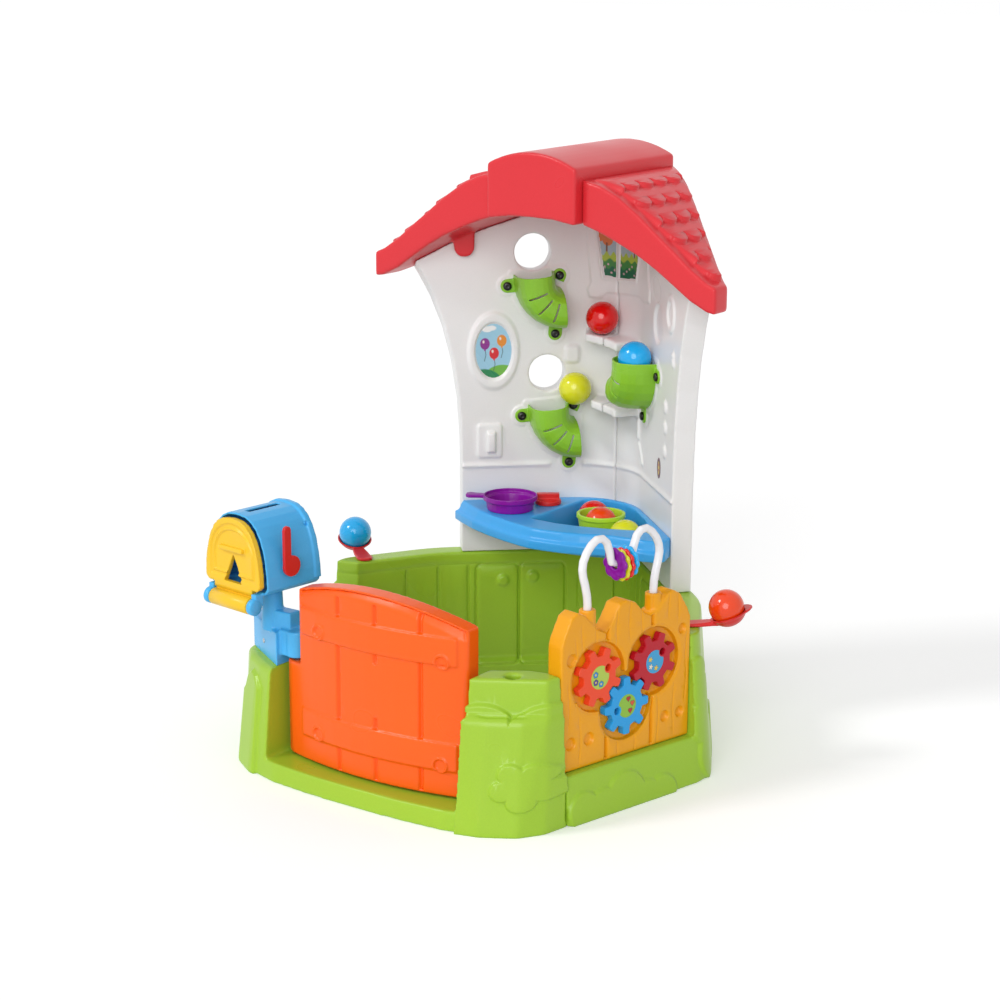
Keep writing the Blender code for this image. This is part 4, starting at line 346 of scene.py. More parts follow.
# Share of the specks laid over a colour, and how far the roughness goes down and up from its middle
SPECK_SHARE = 0.12
GLOSS_DOWN = 0.06
GLOSS_UP = 0.08


def finish(slot, print_layer=False):
    """Moulded plastic, or steel, of a material slot: mottled colour, uneven gloss and a fine skin."""
    key = slot + ("_print" if print_layer else "")
    if key in MADE:
        return MADE[key]
    base = [max(value - GLOSS_HAZE, DARKEST) for value in COLOURS.get(key, COLOUR_OF[slot])]
    gloss, mottle, grain, coat = LOOKS.get(key, LOOKS["plastic"])
    made = bpy.data.materials.new(key)
    made.use_nodes = True
    tree = made.node_tree
    shader = tree.nodes["Principled BSDF"]
    place = add_node(tree, "TexCoord")
    cloud = add_node(tree, "TexNoise", Scale=7.0, Detail=3.0)
    speck = add_node(tree, "TexNoise", Scale=420.0, Detail=2.0)
    wave = add_node(tree, "TexNoise", Scale=9.0, Detail=0.0)
    skin = add_node(tree, "TexNoise", Scale=420.0, Detail=1.0)
    for texture in (cloud, speck, wave, skin):
        tree.links.new(place.outputs["Object"], texture.inputs["Vector"])
    low = tuple(value * (1 - mottle) for value in base) + (1.0,)
    high = tuple(min(value * (1 + mottle), 1.0) for value in base) + (1.0,)
    colour = mix_colours(tree, "MIX", cloud.outputs["Fac"], low, high)
    colour = mix_colours(tree, "SOFT_LIGHT", SPECK_SHARE, colour, speck.outputs["Fac"])
    if print_layer:
        ink = add_node(tree, "VertexColor")
        ink.layer_name = "print"
        colour = mix_colours(tree, "MULTIPLY", 1.0, ink.outputs["Color"], colour)
    tree.links.new(colour, shader.inputs["Base Color"])
    uneven = add_node(tree, "MapRange", To_Min=gloss - GLOSS_DOWN, To_Max=gloss + GLOSS_UP)
    tree.links.new(wave.outputs["Fac"], uneven.inputs["Value"])
    tree.links.new(uneven.outputs["Result"], shader.inputs["Roughness"])
    wavy = add_node(tree, "Bump", Strength=0.20, Distance=0.0015)
    fine = add_node(tree, "Bump", Strength=grain, Distance=0.0003)
    tree.links.new(wave.outputs["Fac"], wavy.inputs["Height"])
    tree.links.new(skin.outputs["Fac"], fine.inputs["Height"])
    tree.links.new(wavy.outputs["Normal"], fine.inputs["Normal"])
    tree.links.new(fine.outputs["Normal"], shader.inputs["Normal"])
    shader.inputs["Specular IOR Level"].default_value = SPECULAR
    shader.inputs["Coat Weight"].default_value = coat
    shader.inputs["Coat Roughness"].default_value = COAT_ROUGHNESS
    shader.inputs["Metallic"].default_value = 1.0 if slot == "steel" else 0.0
    MADE[key] = made
    return made


RECORD = frame["record"]
BODY_OF = {node: body for body, nodes in RECORD["behaviour"]["bodies"].items() for node in nodes}
SLOT_OF = {row["node"]: row["material_slot"] for row in RECORD["subparts"]}
COLOUR_OF = {row["slot"]: row["base_color"] for row in RECORD["materials"]}
# Own tints, where a finish isn't the record's base colour
COLOURS = {
    "wall_white": (0.81, 0.81, 0.81),
    "door_orange": (0.95, 0.135, 0.010),
    "roof_red": (0.70, 0.050, 0.060),
    "counter_blue": (0.065, 0.39, 0.82),
    "mail_blue": (0.09, 0.46, 0.86),
    "funnel_green": (0.26, 0.55, 0.050),
    "panel_yellow": (0.84, 0.37, 0.010),
    "ball_orange": (0.82, 0.075, 0.020),
    "ball_blue": (0.020, 0.42, 0.85),
}
# Roughness, mottle, strength of the fine skin, and clear gloss
LOOKS = {
    "plastic": (0.30, 0.035, 0.045, 0.0),
    **dict.fromkeys(("ball_red", "ball_yellow", "ball_blue", "ball_orange"), (0.16, 0.05, 0.02, 0.35)),
    "rail_white": (0.22, 0.02, 0.03, 0.3),
    "cap_black": (0.30, 0.10, 0.05, 0.2),
    "steel": (0.30, 0.08, 0.04, 0.0),
}


# Shapes pressed into the white wall, by run and height
OVAL_FRAME = (-0.2476, 0.681)
OVAL_RIM = (0.050, 0.076)
OVAL_DISH = (0.037, 0.056)
OVAL_PRINT = (0.0355, 0.0545)
WINDOW_BLOCK = [(-0.071, 0.960), (-0.062, 0.860), (-0.057, 0.815), (-0.064, 0.800), (-0.060, 0.785),
                (-0.036, 0.783), (-0.025, 0.795), (0.060, 0.797), (0.085, 0.790), (0.125, 0.795),
                (0.128, 0.820), (0.118, 0.835), (0.110, 0.860), (0.125, 0.960)]
WINDOW_PANES = ([(-0.050, 0.945), (-0.030, 0.828), (-0.004, 0.826), (-0.005, 0.945)],
                [(0.005, 0.945), (0.004, 0.825), (0.050, 0.828), (0.074, 0.945)])
SWITCH, SWITCH_HALF = (-0.2549, 0.501), (0.0245, 0.034)
TOGGLE, TOGGLE_HALF = (-0.2518, 0.4995), (0.008, 0.020)
BUTTON, BUTTON_HALF = (-0.092, 0.672), (0.014, 0.017)
ROUND_RECESS, RECESS_HALF = (0.184, 0.765), (0.029, 0.035)
ROUND_RING, RING_HALF = (0.275, 0.799), (0.022, 0.029)
BADGE, BADGE_HALF = (0.2126, 0.494), (0.012, 0.020)
WALL_BUMPS = [(0.250, 0.620, 0.012), (0.250, 0.580, 0.012), (0.250, 0.535, 0.012), (0.297, 0.712, 0.010),
              (0.297, 0.726, 0.006)]
WALL_STROKES = ([(0.067, 0.551), (0.068, 0.523)], [(0.073, 0.508), (0.094, 0.476)])
FUNNEL_BODY = [(-0.004, 0.023), (0.093, 0.023), (0.093, 0.000), (0.089, -0.024), (0.079, -0.047),
               (0.064, -0.067), (0.046, -0.081), (0.024, -0.090), (-0.004, -0.093)]
FUNNEL_PLACES = {"upper_funnel": (-1.0, 0.027, 0.818), "lower_funnel": (-1.0, -0.003, 0.560),
                 "right_funnel": (1.0, 0.006, 0.676)}
FUNNEL_TILT = math.radians(-5.0)
PAD_MARGIN = 0.007
PAD_EAR_RADIUS = 0.0135
PAD_RISE = 0.002
# Shapes pressed into the base
SHRUB_RISE = 0.0055
LOBE_RISE = 0.0075
STAR_RISE = 0.0058
LEFT_RISE = 0.0062
SIDE_SHRUB = [(0.066, 0.020, 0.035), (0.165, 0.020, 0.048), (0.255, 0.005, 0.035), (0.115, 0.000, 0.050),
              (0.215, -0.010, 0.050)]
CORNER_SHRUB = [(0.408, 0.402, 0.205, 0.027), (0.412, 0.415, 0.165, 0.034), (0.417, 0.420, 0.110, 0.045),
                (0.410, 0.450, 0.050, 0.060), (0.345, 0.560, 0.020, 0.070), (0.250, 0.680, 0.010, 0.060),
                (0.100, 0.810, 0.015, 0.075)]
COLUMN_LOBES = [(0.236, 0.165, 0.057), (0.335, 0.165, 0.058)]
LOBE_FLOOR = 0.165
STAR = (0.308, 0.088)
LEFT_RAISED = [(-0.243, -0.010), (-0.243, 0.158), (-0.258, 0.176), (-0.276, 0.181), (-0.293, 0.168),
               (-0.301, 0.146), (-0.325, 0.118), (-0.380, 0.105), (-0.380, -0.010)]
CUPBOARD_DOORS = [((0.2386, 0.146), (0.043, 0.102)), ((0.1481, 0.146), (0.0465, 0.102))]
CUPBOARD_KNOBS = [(0.2276, 0.214, 0.011), (0.1672, 0.2205, 0.011)]
CUPBOARD_GROOVES = ((0.0996, 0.097, 0.223), (0.0750, 0.154, 0.216))
INNER_GROOVES = (0.2974, 0.3579, 0.4226)
GROOVE_TOP = 0.246
# Shapes pressed into the panel and the door
PANEL_GROOVES = (0.138, 0.247)
GROOVE_WIDTH = 0.013
FRONT_GROOVE = 0.0090
BACK_GROOVE = 0.0075
DOOR_GROOVE = 0.0065
PANEL_DIMPLES = [(0.055, 0.287, 0.011), (0.320, 0.291, 0.0085), (0.053, 0.138, 0.0107),
                 (0.096, 0.138, 0.0107), (0.280, 0.1366, 0.009), (0.3165, 0.137, 0.0085)]
# Run, bottom and top of each line of grain
PANEL_GRAIN = [(0.048, 0.16, 0.25), (0.074, 0.10, 0.18), (0.078, 0.30, 0.34), (0.111, 0.27, 0.36),
               (0.064, 0.20, 0.32), (0.160, 0.29, 0.36), (0.190, 0.30, 0.37), (0.220, 0.29, 0.35),
               (0.165, 0.09, 0.13), (0.205, 0.09, 0.12), (0.262, 0.09, 0.19), (0.300, 0.10, 0.19),
               (0.330, 0.16, 0.29), (0.285, 0.32, 0.38), (0.308, 0.31, 0.36)]
DOOR_GROOVES = ((-0.060, False), (0.024, True), (0.116, False))
BATTENS = (0.301, 0.112)
BATTEN_HALF = 0.027
STUB_LENGTH = 0.018
DOOR_RINGS = [(-0.105, 0.289), (0.158, 0.282), (-0.108, 0.100), (0.155, 0.097)]
RING_RADIUS = 0.0125
DOOR_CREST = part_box("door")[1][2]
DOOR_CREST_DROP = 0.040
DOOR_CREST_REACH = 0.201
DOOR_BEVEL = 0.012
DOOR_BEVEL_SLOPE = 0.028
DOOR_BEVEL_RISE = 0.008
# Rows of round shingles on each roof wing
ROOF_TOP = 1.050
RIDGE_HALF = 0.098
ROOF_HALF_SPAN = 0.380
ROOF_FRONT_Y = 0.482
ROOF_BACK_Y = 0.800
ROOF_TIP_Y = 0.527
SHINGLE_ROWS = 6
SHINGLE_PITCH = 0.0475
SHINGLE_WIDTH = 0.048
SHINGLE_ROUND = 0.030
SHINGLE_THICK = 0.0095


def funnel_pad(run, height):
    """Distance to the outline of the funnels and their ears."""
    best = np.full(len(run), FAR_OFF)
    for node, (side, along, level) in FUNNEL_PLACES.items():
        u = side * run - CORNER_RUN - along
        v = height - level
        turned_u = u * math.cos(FUNNEL_TILT) + v * math.sin(FUNNEL_TILT)
        turned_v = v * math.cos(FUNNEL_TILT) - u * math.sin(FUNNEL_TILT)
        best = np.minimum(best, area(turned_u, turned_v, FUNNEL_BODY))
        for k in (1, 2, 3):
            low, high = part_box(f"{node}_cap_{k}")
            spot = wall_place(np.array([[(a + b) / 2 for a, b in zip(low, high)]]))
            best = np.minimum(best, np.hypot(run - spot[0][0], height - spot[1][0]) - PAD_EAR_RADIUS)
    return best


def wall_relief(points, found):
    run, height, _, direction = wall_place(points)
    room = facing(found, -direction)
    rise = 0.0045 * inside(oval(run, height, OVAL_FRAME, OVAL_RIM), 0.008)
    rise -= 0.0060 * inside(oval(run, height, OVAL_FRAME, OVAL_DISH), 0.005)
    rise += 0.0040 * inside(tile(run, height, SWITCH, SWITCH_HALF, 0.007), 0.005)
    rise += 0.0090 * inside(tile(run, height, TOGGLE, TOGGLE_HALF, 0.003), 0.006)
    rise += 0.0060 * inside(tile(run, height, BUTTON, BUTTON_HALF, 0.009), 0.010)
    rise += PAD_RISE * inside(funnel_pad(run, height) - PAD_MARGIN, 0.004)
    rise += 0.0030 * inside(area(run, height, WINDOW_BLOCK), 0.005)
    panes = np.minimum(*[area(run, height, pane) for pane in WINDOW_PANES])
    rise += 0.0025 * inside(panes - 0.006, 0.004) - 0.0045 * inside(panes - 0.001, 0.003)
    rise -= 0.0050 * inside(oval(run, height, ROUND_RECESS, RECESS_HALF), 0.008)
    ring = oval(run, height, ROUND_RING, RING_HALF)
    rise += 0.0035 * inside(np.abs(ring) - 0.005, 0.005)
    rise += 0.0040 * inside(blob(run, height, WALL_BUMPS), 0.009)
    for points_of in WALL_STROKES:
        rise += 0.0035 * inside(stroke(run, height, points_of) - 0.005, 0.006)
    return found * (rise * room)[:, None]


def base_relief(points, found):
    side = -1.0 if points[:, 0].mean() < 0.0 else 1.0
    along, height, _, direction = side_place(points, side)
    outer = facing(found, direction, 0.2)
    rise = SHRUB_RISE * inside(blob(along, height, SIDE_SHRUB), 0.006) * outer * (along < 0.30)
    best = np.full(len(points), FAR_OFF)
    for x, y, z, radius in CORNER_SHRUB:
        best = np.minimum(best, np.linalg.norm(points - np.array((side * x, y, z)), axis=1) - radius)
    away = points[:, :2] - np.array((side * 0.12, 0.36))
    away /= np.linalg.norm(away, axis=1)[:, None]
    outward = ramp(np.sum(found[:, :2] * away, axis=1), 0.2)
    rise += SHRUB_RISE * inside(best, 0.006) * outward * (along > 0.30)
    run, _, _, direction = wall_place(points)
    run = np.abs(run)
    room = facing(found, -direction, 0.3) * (points[:, 1] > 0.30)
    panel = np.zeros(len(points))
    for centre, half in CUPBOARD_DOORS:
        panel -= 0.0036 * line(tile(run, height, centre, half, 0.012), 0.008)
    panel += 0.0050 * inside(blob(run, height, CUPBOARD_KNOBS), 0.008)
    for place in INNER_GROOVES:
        panel -= 0.0038 * line(run - place, 0.009) * inside(height - GROOVE_TOP, 0.004)
    panel -= 0.0015 * line(height - GROOVE_TOP - 0.004, 0.006) * (run > 0.27)
    for place, low, high in CUPBOARD_GROOVES:
        panel -= 0.0022 * line(stroke(run, height, [(place, low), (place, high)]), 0.006)
    rise += panel * room
    return found * rise[:, None]


def front_relief(points, found):
    x, height = points[:, 0], points[:, 2]
    side = np.where(x < 0.0, -1.0, 1.0)
    ahead = ramp(found[:, 0] * side * 0.6 - found[:, 1] * 0.8, 0.35)
    right = np.minimum(blob(x, height, COLUMN_LOBES), height - LOBE_FLOOR)
    rise = LOBE_RISE * inside(right, 0.006) * (x > DOORWAY_HALF)
    star = flower(x, height, STAR, 0.018, 0.026, 5, math.radians(54.0))
    rise += STAR_RISE * inside(star, 0.005) * (x > 0.0)
    rise += LEFT_RISE * inside(area(x, height, LEFT_RAISED), 0.007)
    return found * (rise * ahead)[:, None]


def panel_relief(points, found):
    along, height, _, direction = side_place(points, 1.0)
    front = facing(found, direction, 0.5)
    back = facing(found, -direction, 0.5)
    pockets = blob(along, height, [(s, z, POCKET_RADIUS) for s, z in GEAR_PLACES.values()])
    clear = inside(-pockets - 0.002, 0.003)
    rise = np.zeros(len(points))
    for place in PANEL_GROOVES:
        rise -= FRONT_GROOVE * line(along - place, GROOVE_WIDTH) * clear
    rise -= 0.0075 * inside(blob(along, height, PANEL_DIMPLES), 0.005)
    for place, low, high in PANEL_GRAIN:
        wander = 0.0015 * np.sin(height * 70.0 + place * 400.0)
        within = inside(np.maximum(low - height, height - high), 0.02)
        rise -= 0.0015 * line(along - place - wander, 0.0045) * within * clear
    edge = inside(-pockets - 0.001, 0.002) * inside(pockets - 0.004, 0.004)
    rise -= 0.0012 * edge
    behind = np.zeros(len(points))
    for place in PANEL_GROOVES:
        behind -= BACK_GROOVE * line(along - place, GROOVE_WIDTH)
    return found * (rise * front + behind * back)[:, None]


def door_crest(x):
    """Height of the door's curved top."""
    return DOOR_CREST - DOOR_CREST_DROP * (x / DOOR_CREST_REACH) ** 2


def door_relief(points, found):
    x, height = points[:, 0], points[:, 2]
    flat = ramp(np.abs(found[:, 1]), 0.6, 0.2)
    rise = np.zeros(len(points))
    off_batten = np.minimum(*[np.abs(height - z) - BATTEN_HALF for z in BATTENS])
    for place, stub in DOOR_GROOVES:
        groove = line(x - place, GROOVE_WIDTH) * inside(-off_batten, 0.004) * inside(height - 0.362, 0.004)
        if stub:
            short = np.maximum(BATTENS[1] + BATTEN_HALF + STUB_LENGTH - height,
                               height - BATTENS[0] + BATTEN_HALF + STUB_LENGTH)
            middle = (height > BATTENS[1]) & (height < BATTENS[0])
            groove = groove * np.where(middle, inside(-short, 0.004), 1.0)
        rise -= DOOR_GROOVE * groove
    for cx, cz in DOOR_RINGS:
        reach = np.hypot(x - cx, height - cz)
        rise += 0.0028 * line(reach - RING_RADIUS, 0.007)
        rise -= 0.0020 * inside(reach - RING_RADIUS + 0.003, 0.004)
    below = door_crest(x) - height
    rise -= DOOR_BEVEL_RISE * smooth_step(1.0 - below / (DOOR_BEVEL + DOOR_BEVEL_SLOPE * (x + DOORWAY_HALF)))
    return found * (rise * flat)[:, None]


def roof_relief(points, found):
    x, y, z = np.abs(points[:, 0]), points[:, 1], points[:, 2]
    up = ramp(found[:, 2], 0.35)
    down = 0.85 * (x - RIDGE_HALF) + 0.52 * (ROOF_TOP - z)
    share = np.clip((x - RIDGE_HALF) / (ROOF_HALF_SPAN - RIDGE_HALF), 0.0, 1.0)
    rear = ROOF_BACK_Y + (ROOF_TIP_Y - ROOF_BACK_Y) * share
    top = np.zeros(len(points))
    for k in range(SHINGLE_ROWS):
        start = 0.012 + k * SHINGLE_PITCH
        across = ((y - ROOF_FRONT_Y) / SHINGLE_WIDTH + 0.5 * (k % 2)) % 1.0
        t = np.abs(2.0 * across - 1.0)
        end = start + 1.35 * SHINGLE_PITCH - SHINGLE_ROUND * (1.0 - np.sqrt(np.maximum(1.0 - t * t, 0.0)))
        rise = SHINGLE_THICK * (0.25 + 0.75 * (down - start) / SHINGLE_PITCH)
        top = np.maximum(top, rise * smooth_step((end - down) / 0.005) * (down > start))
    field = np.minimum(np.minimum(y - ROOF_FRONT_Y - 0.024, rear - 0.014 - y), 0.318 - down)
    return found * (top * up * inside(-field, 0.008))[:, None]


def mailbox_relief(points, found):
    along, _, height = mailbox_place(points)
    rise = np.zeros(len(points))
    sides = ramp(np.hypot(found @ MAIL_ACROSS, found[:, 2]), 0.5)
    for end in (MAIL_FRONT, MAIL_BACK):
        rise += 0.0034 * inside(np.abs(along - end) - 0.012, 0.005)
    around = np.stack((along, height), axis=1)
    for place in (MAIL_FRONT + 0.012, MAIL_BACK - 0.012):
        rise -= 0.0060 * inside(np.linalg.norm(around - (place, MAIL_DIMPLE_Z), axis=1) - 0.0030, 0.003)
    return found * (rise * sides * (height > MAIL_FLOOR + 0.012))[:, None]


def flap_relief(points, found):
    """Raised rim and inner arch on the flap's front."""
    _, across, height = mailbox_place(points)
    front = facing(found, -MAIL_ALONG, 0.5)
    spring = MAIL_FLOOR + FLAP_SPRING
    arch = np.where(height > spring, np.hypot(across, height - spring), np.abs(across)) - FLAP_HALF
    arch = np.maximum(arch, MAIL_FLOOR + FLAP_FOOT - height)
    rise = 0.0030 * inside(-arch - 0.010, 0.004) + 0.0035 * line(arch + 0.019, 0.009)
    return found * (rise * front * (height > MAIL_FLOOR - 0.002))[:, None]


def mailbox_place(points):
    """Place along the post box, across it, and height."""
    gap = points - MAIL_CENTRE
    return gap @ MAIL_ALONG, gap @ MAIL_ACROSS, points[:, 2]


def star_rays(distance, centre, most, count):
    """Reach of a shape from its middle in each of some directions."""
    angles = np.arange(count) * 2 * math.pi / count
    low, high = np.zeros(count), np.full(count, most)
    for _ in range(24):
        middle = (low + high) / 2
        within = distance(centre[0] + middle * np.cos(angles), centre[1] + middle * np.sin(angles)) < 0.0
        low, high = np.where(within, middle, low), np.where(within, high, middle)
    return angles, low


def print_on(name, body, distance, centre, most, colour, place, count=144, rings=36, slot="wall_white"):
    """Thin closed sticker: a shape's rings of points, placed on a surface and inked point by point."""
    angles, reach = star_rays(distance, centre, most, count)
    spots = [(centre[0], centre[1], PRINT_RISE)]
    for k in range(1, rings + 1):
        share = k / rings
        spots += [(*polar(share * far, angle, centre), PRINT_RISE) for angle, far in zip(angles, reach)]
    spots += [(*polar(far, angle, centre), -PRINT_RISE) for angle, far in zip(angles, reach)]
    spots.append((centre[0], centre[1], -PRINT_RISE))
    faces = []
    last = len(spots) - 1
    for k in range(count):
        after = (k + 1) % count
        faces.append((0, 1 + k, 1 + after))
        for ring in range(rings):
            a = 1 + ring * count
            faces.append((a + k, a + count + k, a + count + after, a + after))
        faces.append((last, last - count + after, last - count + k))
    mesh = closed_mesh(name, [place(u, v, out) for u, v, out in spots], faces)
    flat = np.array(spots)
    inks = colour(flat[:, 0], flat[:, 1])
    inks = np.concatenate((inks, np.ones((len(inks), 1))), axis=1)
    layer = mesh.color_attributes.new("print", "FLOAT_COLOR", "POINT")
    layer.data.foreach_set("color", inks.astype(np.float32).ravel())
    piece = new_piece(name, mesh, finish(slot, print_layer=True))
    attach(piece, body)
    return piece


PRINT_RISE = 0.0004


def paint(base, layers):
    """Inks of some points: a base ink with each layer's ink laid over it where its mask is 1."""
    inks = np.tile(np.array(base, float), (len(layers[0][0]), 1))
    for mask, ink in layers:
        inks = inks * (1.0 - mask[:, None]) + np.array(ink, float) * mask[:, None]
    return inks


def tint(red, green, blue):
    """Linear ink of a screen colour."""
    return tuple((value / 255.0) ** 2.2 for value in (red, green, blue))


def soft(distance):
    return inside(distance, 0.0014)


# Middle, half sizes and screen colour of each oval behind the balloons
CLOUDS_AND_HILLS = (((-0.013, 0.043), (0.010, 0.006), (255, 255, 255)),
                    ((-0.004, 0.045), (0.009, 0.005), (255, 255, 255)),
                    ((0.018, -0.060), (0.040, 0.032), (120, 190, 80)),
                    ((-0.020, -0.062), (0.036, 0.026), (50, 140, 90)))


def balloon_picture(u, v):
    """Three balloons over two hills, for the oval frame."""
    x, y = u - OVAL_FRAME[0], v - OVAL_FRAME[1]
    layers = [(soft(oval(x, y, centre, half)), tint(*ink)) for centre, half, ink in CLOUDS_AND_HILLS]
    for cx, cy, ink in ((-0.017, 0.014, tint(150, 60, 150)), (0.016, 0.020, tint(240, 150, 60)),
                        (0.001, -0.005, tint(225, 55, 60))):
        string = [(cx, cy - 0.010), (cx + 0.002, cy - 0.022), (cx - 0.001, cy - 0.034)]
        layers.append((soft(stroke(x, y, string) - 0.0006), tint(70, 90, 90)))
        layers.append((soft(oval(x, y, (cx, cy), (0.0095, 0.0115))), ink))
        layers.append((soft(blob(x, y, [(cx, cy - 0.0125, 0.0018)])), ink))
        layers.append((soft(oval(x, y, (cx - 0.003, cy + 0.004), (0.002, 0.003))), tint(255, 240, 235)))
    return paint(tint(165, 215, 240), layers)


def garden_picture(u, v):
    """Bushes and meadow flowers behind a window pane."""
    layers = [(soft(blob(u, v, [(-0.040, 0.905, 0.010), (-0.024, 0.898, 0.011), (0.022, 0.902, 0.012),
                                (0.050, 0.908, 0.013), (0.064, 0.900, 0.011)])), tint(225, 120, 60)),
              (soft(np.abs(u + 0.026) - 0.0018 + (v > 0.893) * FAR_OFF), tint(130, 80, 50)),
              (soft(np.abs(u - 0.042) - 0.0018 + (v > 0.898) * FAR_OFF), tint(130, 80, 50)),
              (soft(v - 0.872 - 0.004 * np.sin(u * 420.0)), tint(175, 200, 70)),
              (soft(v - 0.860 - 0.003 * np.sin(u * 300.0 + 1.0)), tint(70, 140, 70)),
              (soft(v - 0.845 - 0.003 * np.sin(u * 360.0)), tint(35, 105, 75))]
    for k in range(16):
        cu = -0.044 + 0.0072 * k
        cv = 0.835 + 0.007 * ((k * 5) % 4) / 1.3
        layers.append((soft(blob(u, v, [(cu, cv, 0.0019)])), tint(240, 190, 200)))
    return paint(tint(170, 190, 200), layers)


def badge_picture(u, v):
    """Plain oval with two dots."""
    x, y = u - BADGE[0], v - BADGE[1]
    layers = [(soft(oval(x, y, (0.0, 0.0), (0.006, 0.013))), tint(220, 200, 90)),
              (soft(blob(x, y, [(0.0, 0.006, 0.003), (0.0, -0.004, 0.003)])), tint(190, 80, 110))]
    return paint(tint(110, 70, 90), layers)


def gear_picture(base, motif, spots, size):
    """Small repeated motifs, flowers, stars or hearts, on a gear's face."""
    def colour(u, v):
        layers = []
        for cu, cv, ink in spots:
            if motif == "star":
                angle = np.arctan2(v - cv, u - cu)
                shape = np.hypot(u - cu, v - cv) - size * (0.72 + 0.28 * np.cos(5 * angle))
            elif motif == "heart":
                lobes = [(cu + way * size * 0.45, cv + size * 0.3, size * 0.55) for way in (-1.0, 1.0)]
                point = [(cu + way * size * 0.92, cv + size * 0.05) for way in (-1.0, 1.0)]
                shape = np.minimum(blob(u, v, lobes), area(u, v, point + [(cu, cv - size)]))
            else:
                shape = flower(u, v, (cu, cv), size * 0.45, size * 0.6, 5, 0.3)
            layers.append((inside(shape - 0.0007, 0.0010), tint(40, 45, 60)))
            layers.append((inside(shape, 0.0008), ink))
            if motif == "flower":
                layers.append((inside(blob(u, v, [(cu, cv, size * 0.35)]), 0.0008), tint(250, 220, 90)))
        return paint(base, layers)
    return colour


def frame_on(axis, origin):
    """Place whose Z runs along an axis."""
    place = Vector(axis).to_track_quat("Z", "Y").to_matrix().to_4x4()
    place.translation = origin
    return place


def lathe(name, profile, place, slot, steps=48):
    """Turned piece: a closed profile of radius and height pairs, spun about Z and placed."""
    build = bmesh.new()
    rings = []
    for radius, height in profile:
        if radius < 0.000001:
            rings.append([build.verts.new((0.0, 0.0, height))])
            continue
        rings.append([build.verts.new((*polar(radius, 2 * math.pi * k / steps), height))
                      for k in range(steps)])
    for low, high in zip(rings, rings[1:]):
        for k in range(steps):
            after = (k + 1) % steps
            corners = [low[k % len(low)], low[after % len(low)],
                       high[after % len(high)], high[k % len(high)]]
            unique = [c for i, c in enumerate(corners) if c not in corners[:i]]
            if len(unique) > 2:
                build.faces.new(unique)
    bmesh.ops.recalc_face_normals(build, faces=build.faces)
    build.transform(place)
    return new_piece(name, mesh_from(build, name), finish(slot))


def round_edge(radius, height, bevel, steps=4):
    """Profile points round a top edge, from its side to its top."""
    points = []
    for k in range(steps + 1):
        angle = math.pi / 2 * k / steps
        points.append((radius - bevel * (1 - math.cos(angle)), height - bevel * (1 - math.sin(angle))))
    return points


SEAM_RISE = 0.00025
SEAM_WIDTH = 0.0016
GATE_DEPTH = 0.0008
GATE_RADIUS = 0.0035
GATE_EDGE = 0.003


def make_ball(node):
    """Play ball with its mould seam and the small dimple at its gate."""
    low, high = [Vector(corner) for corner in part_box(node)]
    centre = (low + high) / 2
    build = bmesh.new()
    bmesh.ops.create_icosphere(build, subdivisions=5, radius=1.0)
    mesh = mesh_from(build, node)
    points = coordinates(mesh)
    points /= np.linalg.norm(points, axis=1)[:, None]
    turn = sum(map(ord, node)) % 17
    seam = np.array((math.cos(turn), math.sin(turn) * 0.5, 0.4 + 0.1 * (turn % 5)))
    seam /= np.linalg.norm(seam)
    gate = np.cross(seam, (0.3, 0.2, 1.0))
    gate /= np.linalg.norm(gate)
    radius = (high.z - low.z) / 2
    reach = radius + SEAM_RISE * line((points @ seam) * radius, SEAM_WIDTH)
    reach -= GATE_DEPTH * inside(np.linalg.norm(points - gate, axis=1) * radius - GATE_RADIUS, GATE_EDGE)
    points = points * reach[:, None] + np.array(centre)
    write_coordinates(mesh, points)
    return stand_for(new_piece(node + "_moulded", mesh, finish(SLOT_OF[node])), node)


def make_cap(node, side):
    """Round screw cap: a low dome with a rim and a shallow dish in its middle."""
    low, high = [Vector(corner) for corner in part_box(node)]
    axis = Vector((-side * math.sin(REAR_ANGLE), -math.cos(REAR_ANGLE), 0.0))
    points = solid_points(node) @ np.array(axis)
    height = points.max() - points.min()
    centre = (low + high) / 2
    foot = centre + axis * (points.min() - centre.dot(axis))
    radius = (high.z - low.z) / 2
    profile = [(0.0, 0.0), (radius, 0.0), (radius, height * 0.45)]
    profile += [(radius * math.cos(angle), height * (0.45 + 0.75 * math.sin(angle)))
                for angle in [math.pi / 2 * k / 8 for k in range(1, 6)]]
    profile += [(radius * 0.30, height * 1.12), (radius * 0.22, height * 1.02), (0.0, height * 1.0)]
    return stand_for(lathe(node + "_dome", profile, frame_on(axis, foot), SLOT_OF[node]), node)


def measure_pin(node, axis):
    """Direction, foot, radius and length of a round solid."""
    axis = Vector(axis).normalized()
    points = solid_points(node)
    reach = points @ np.array(axis)
    centre = points.mean(axis=0)
    off_axis = points - centre - np.outer(reach - centre @ np.array(axis), axis)
    foot = Vector(centre) + axis * (reach.min() - Vector(centre).dot(axis))
    return axis, foot, np.linalg.norm(off_axis, axis=1).max(), reach.max() - reach.min()


def make_pin(node, axis, bevel=0.0008):
    """Round pin with rolled edges, as long and as thick as its solid."""
    axis, foot, radius, length = measure_pin(node, axis)
    bottom = [(r, bevel * 2 - (h - length + bevel * 2)) for r, h in round_edge(radius, length, bevel)[::-1]]
    profile = [(0.0, 0.0)] + [(r, h) for r, h in bottom if h < length / 2]
    profile += round_edge(radius, length, bevel) + [(0.0, length)]
    return stand_for(lathe(node + "_turned", profile, frame_on(axis, foot), SLOT_OF[node], steps=32), node)


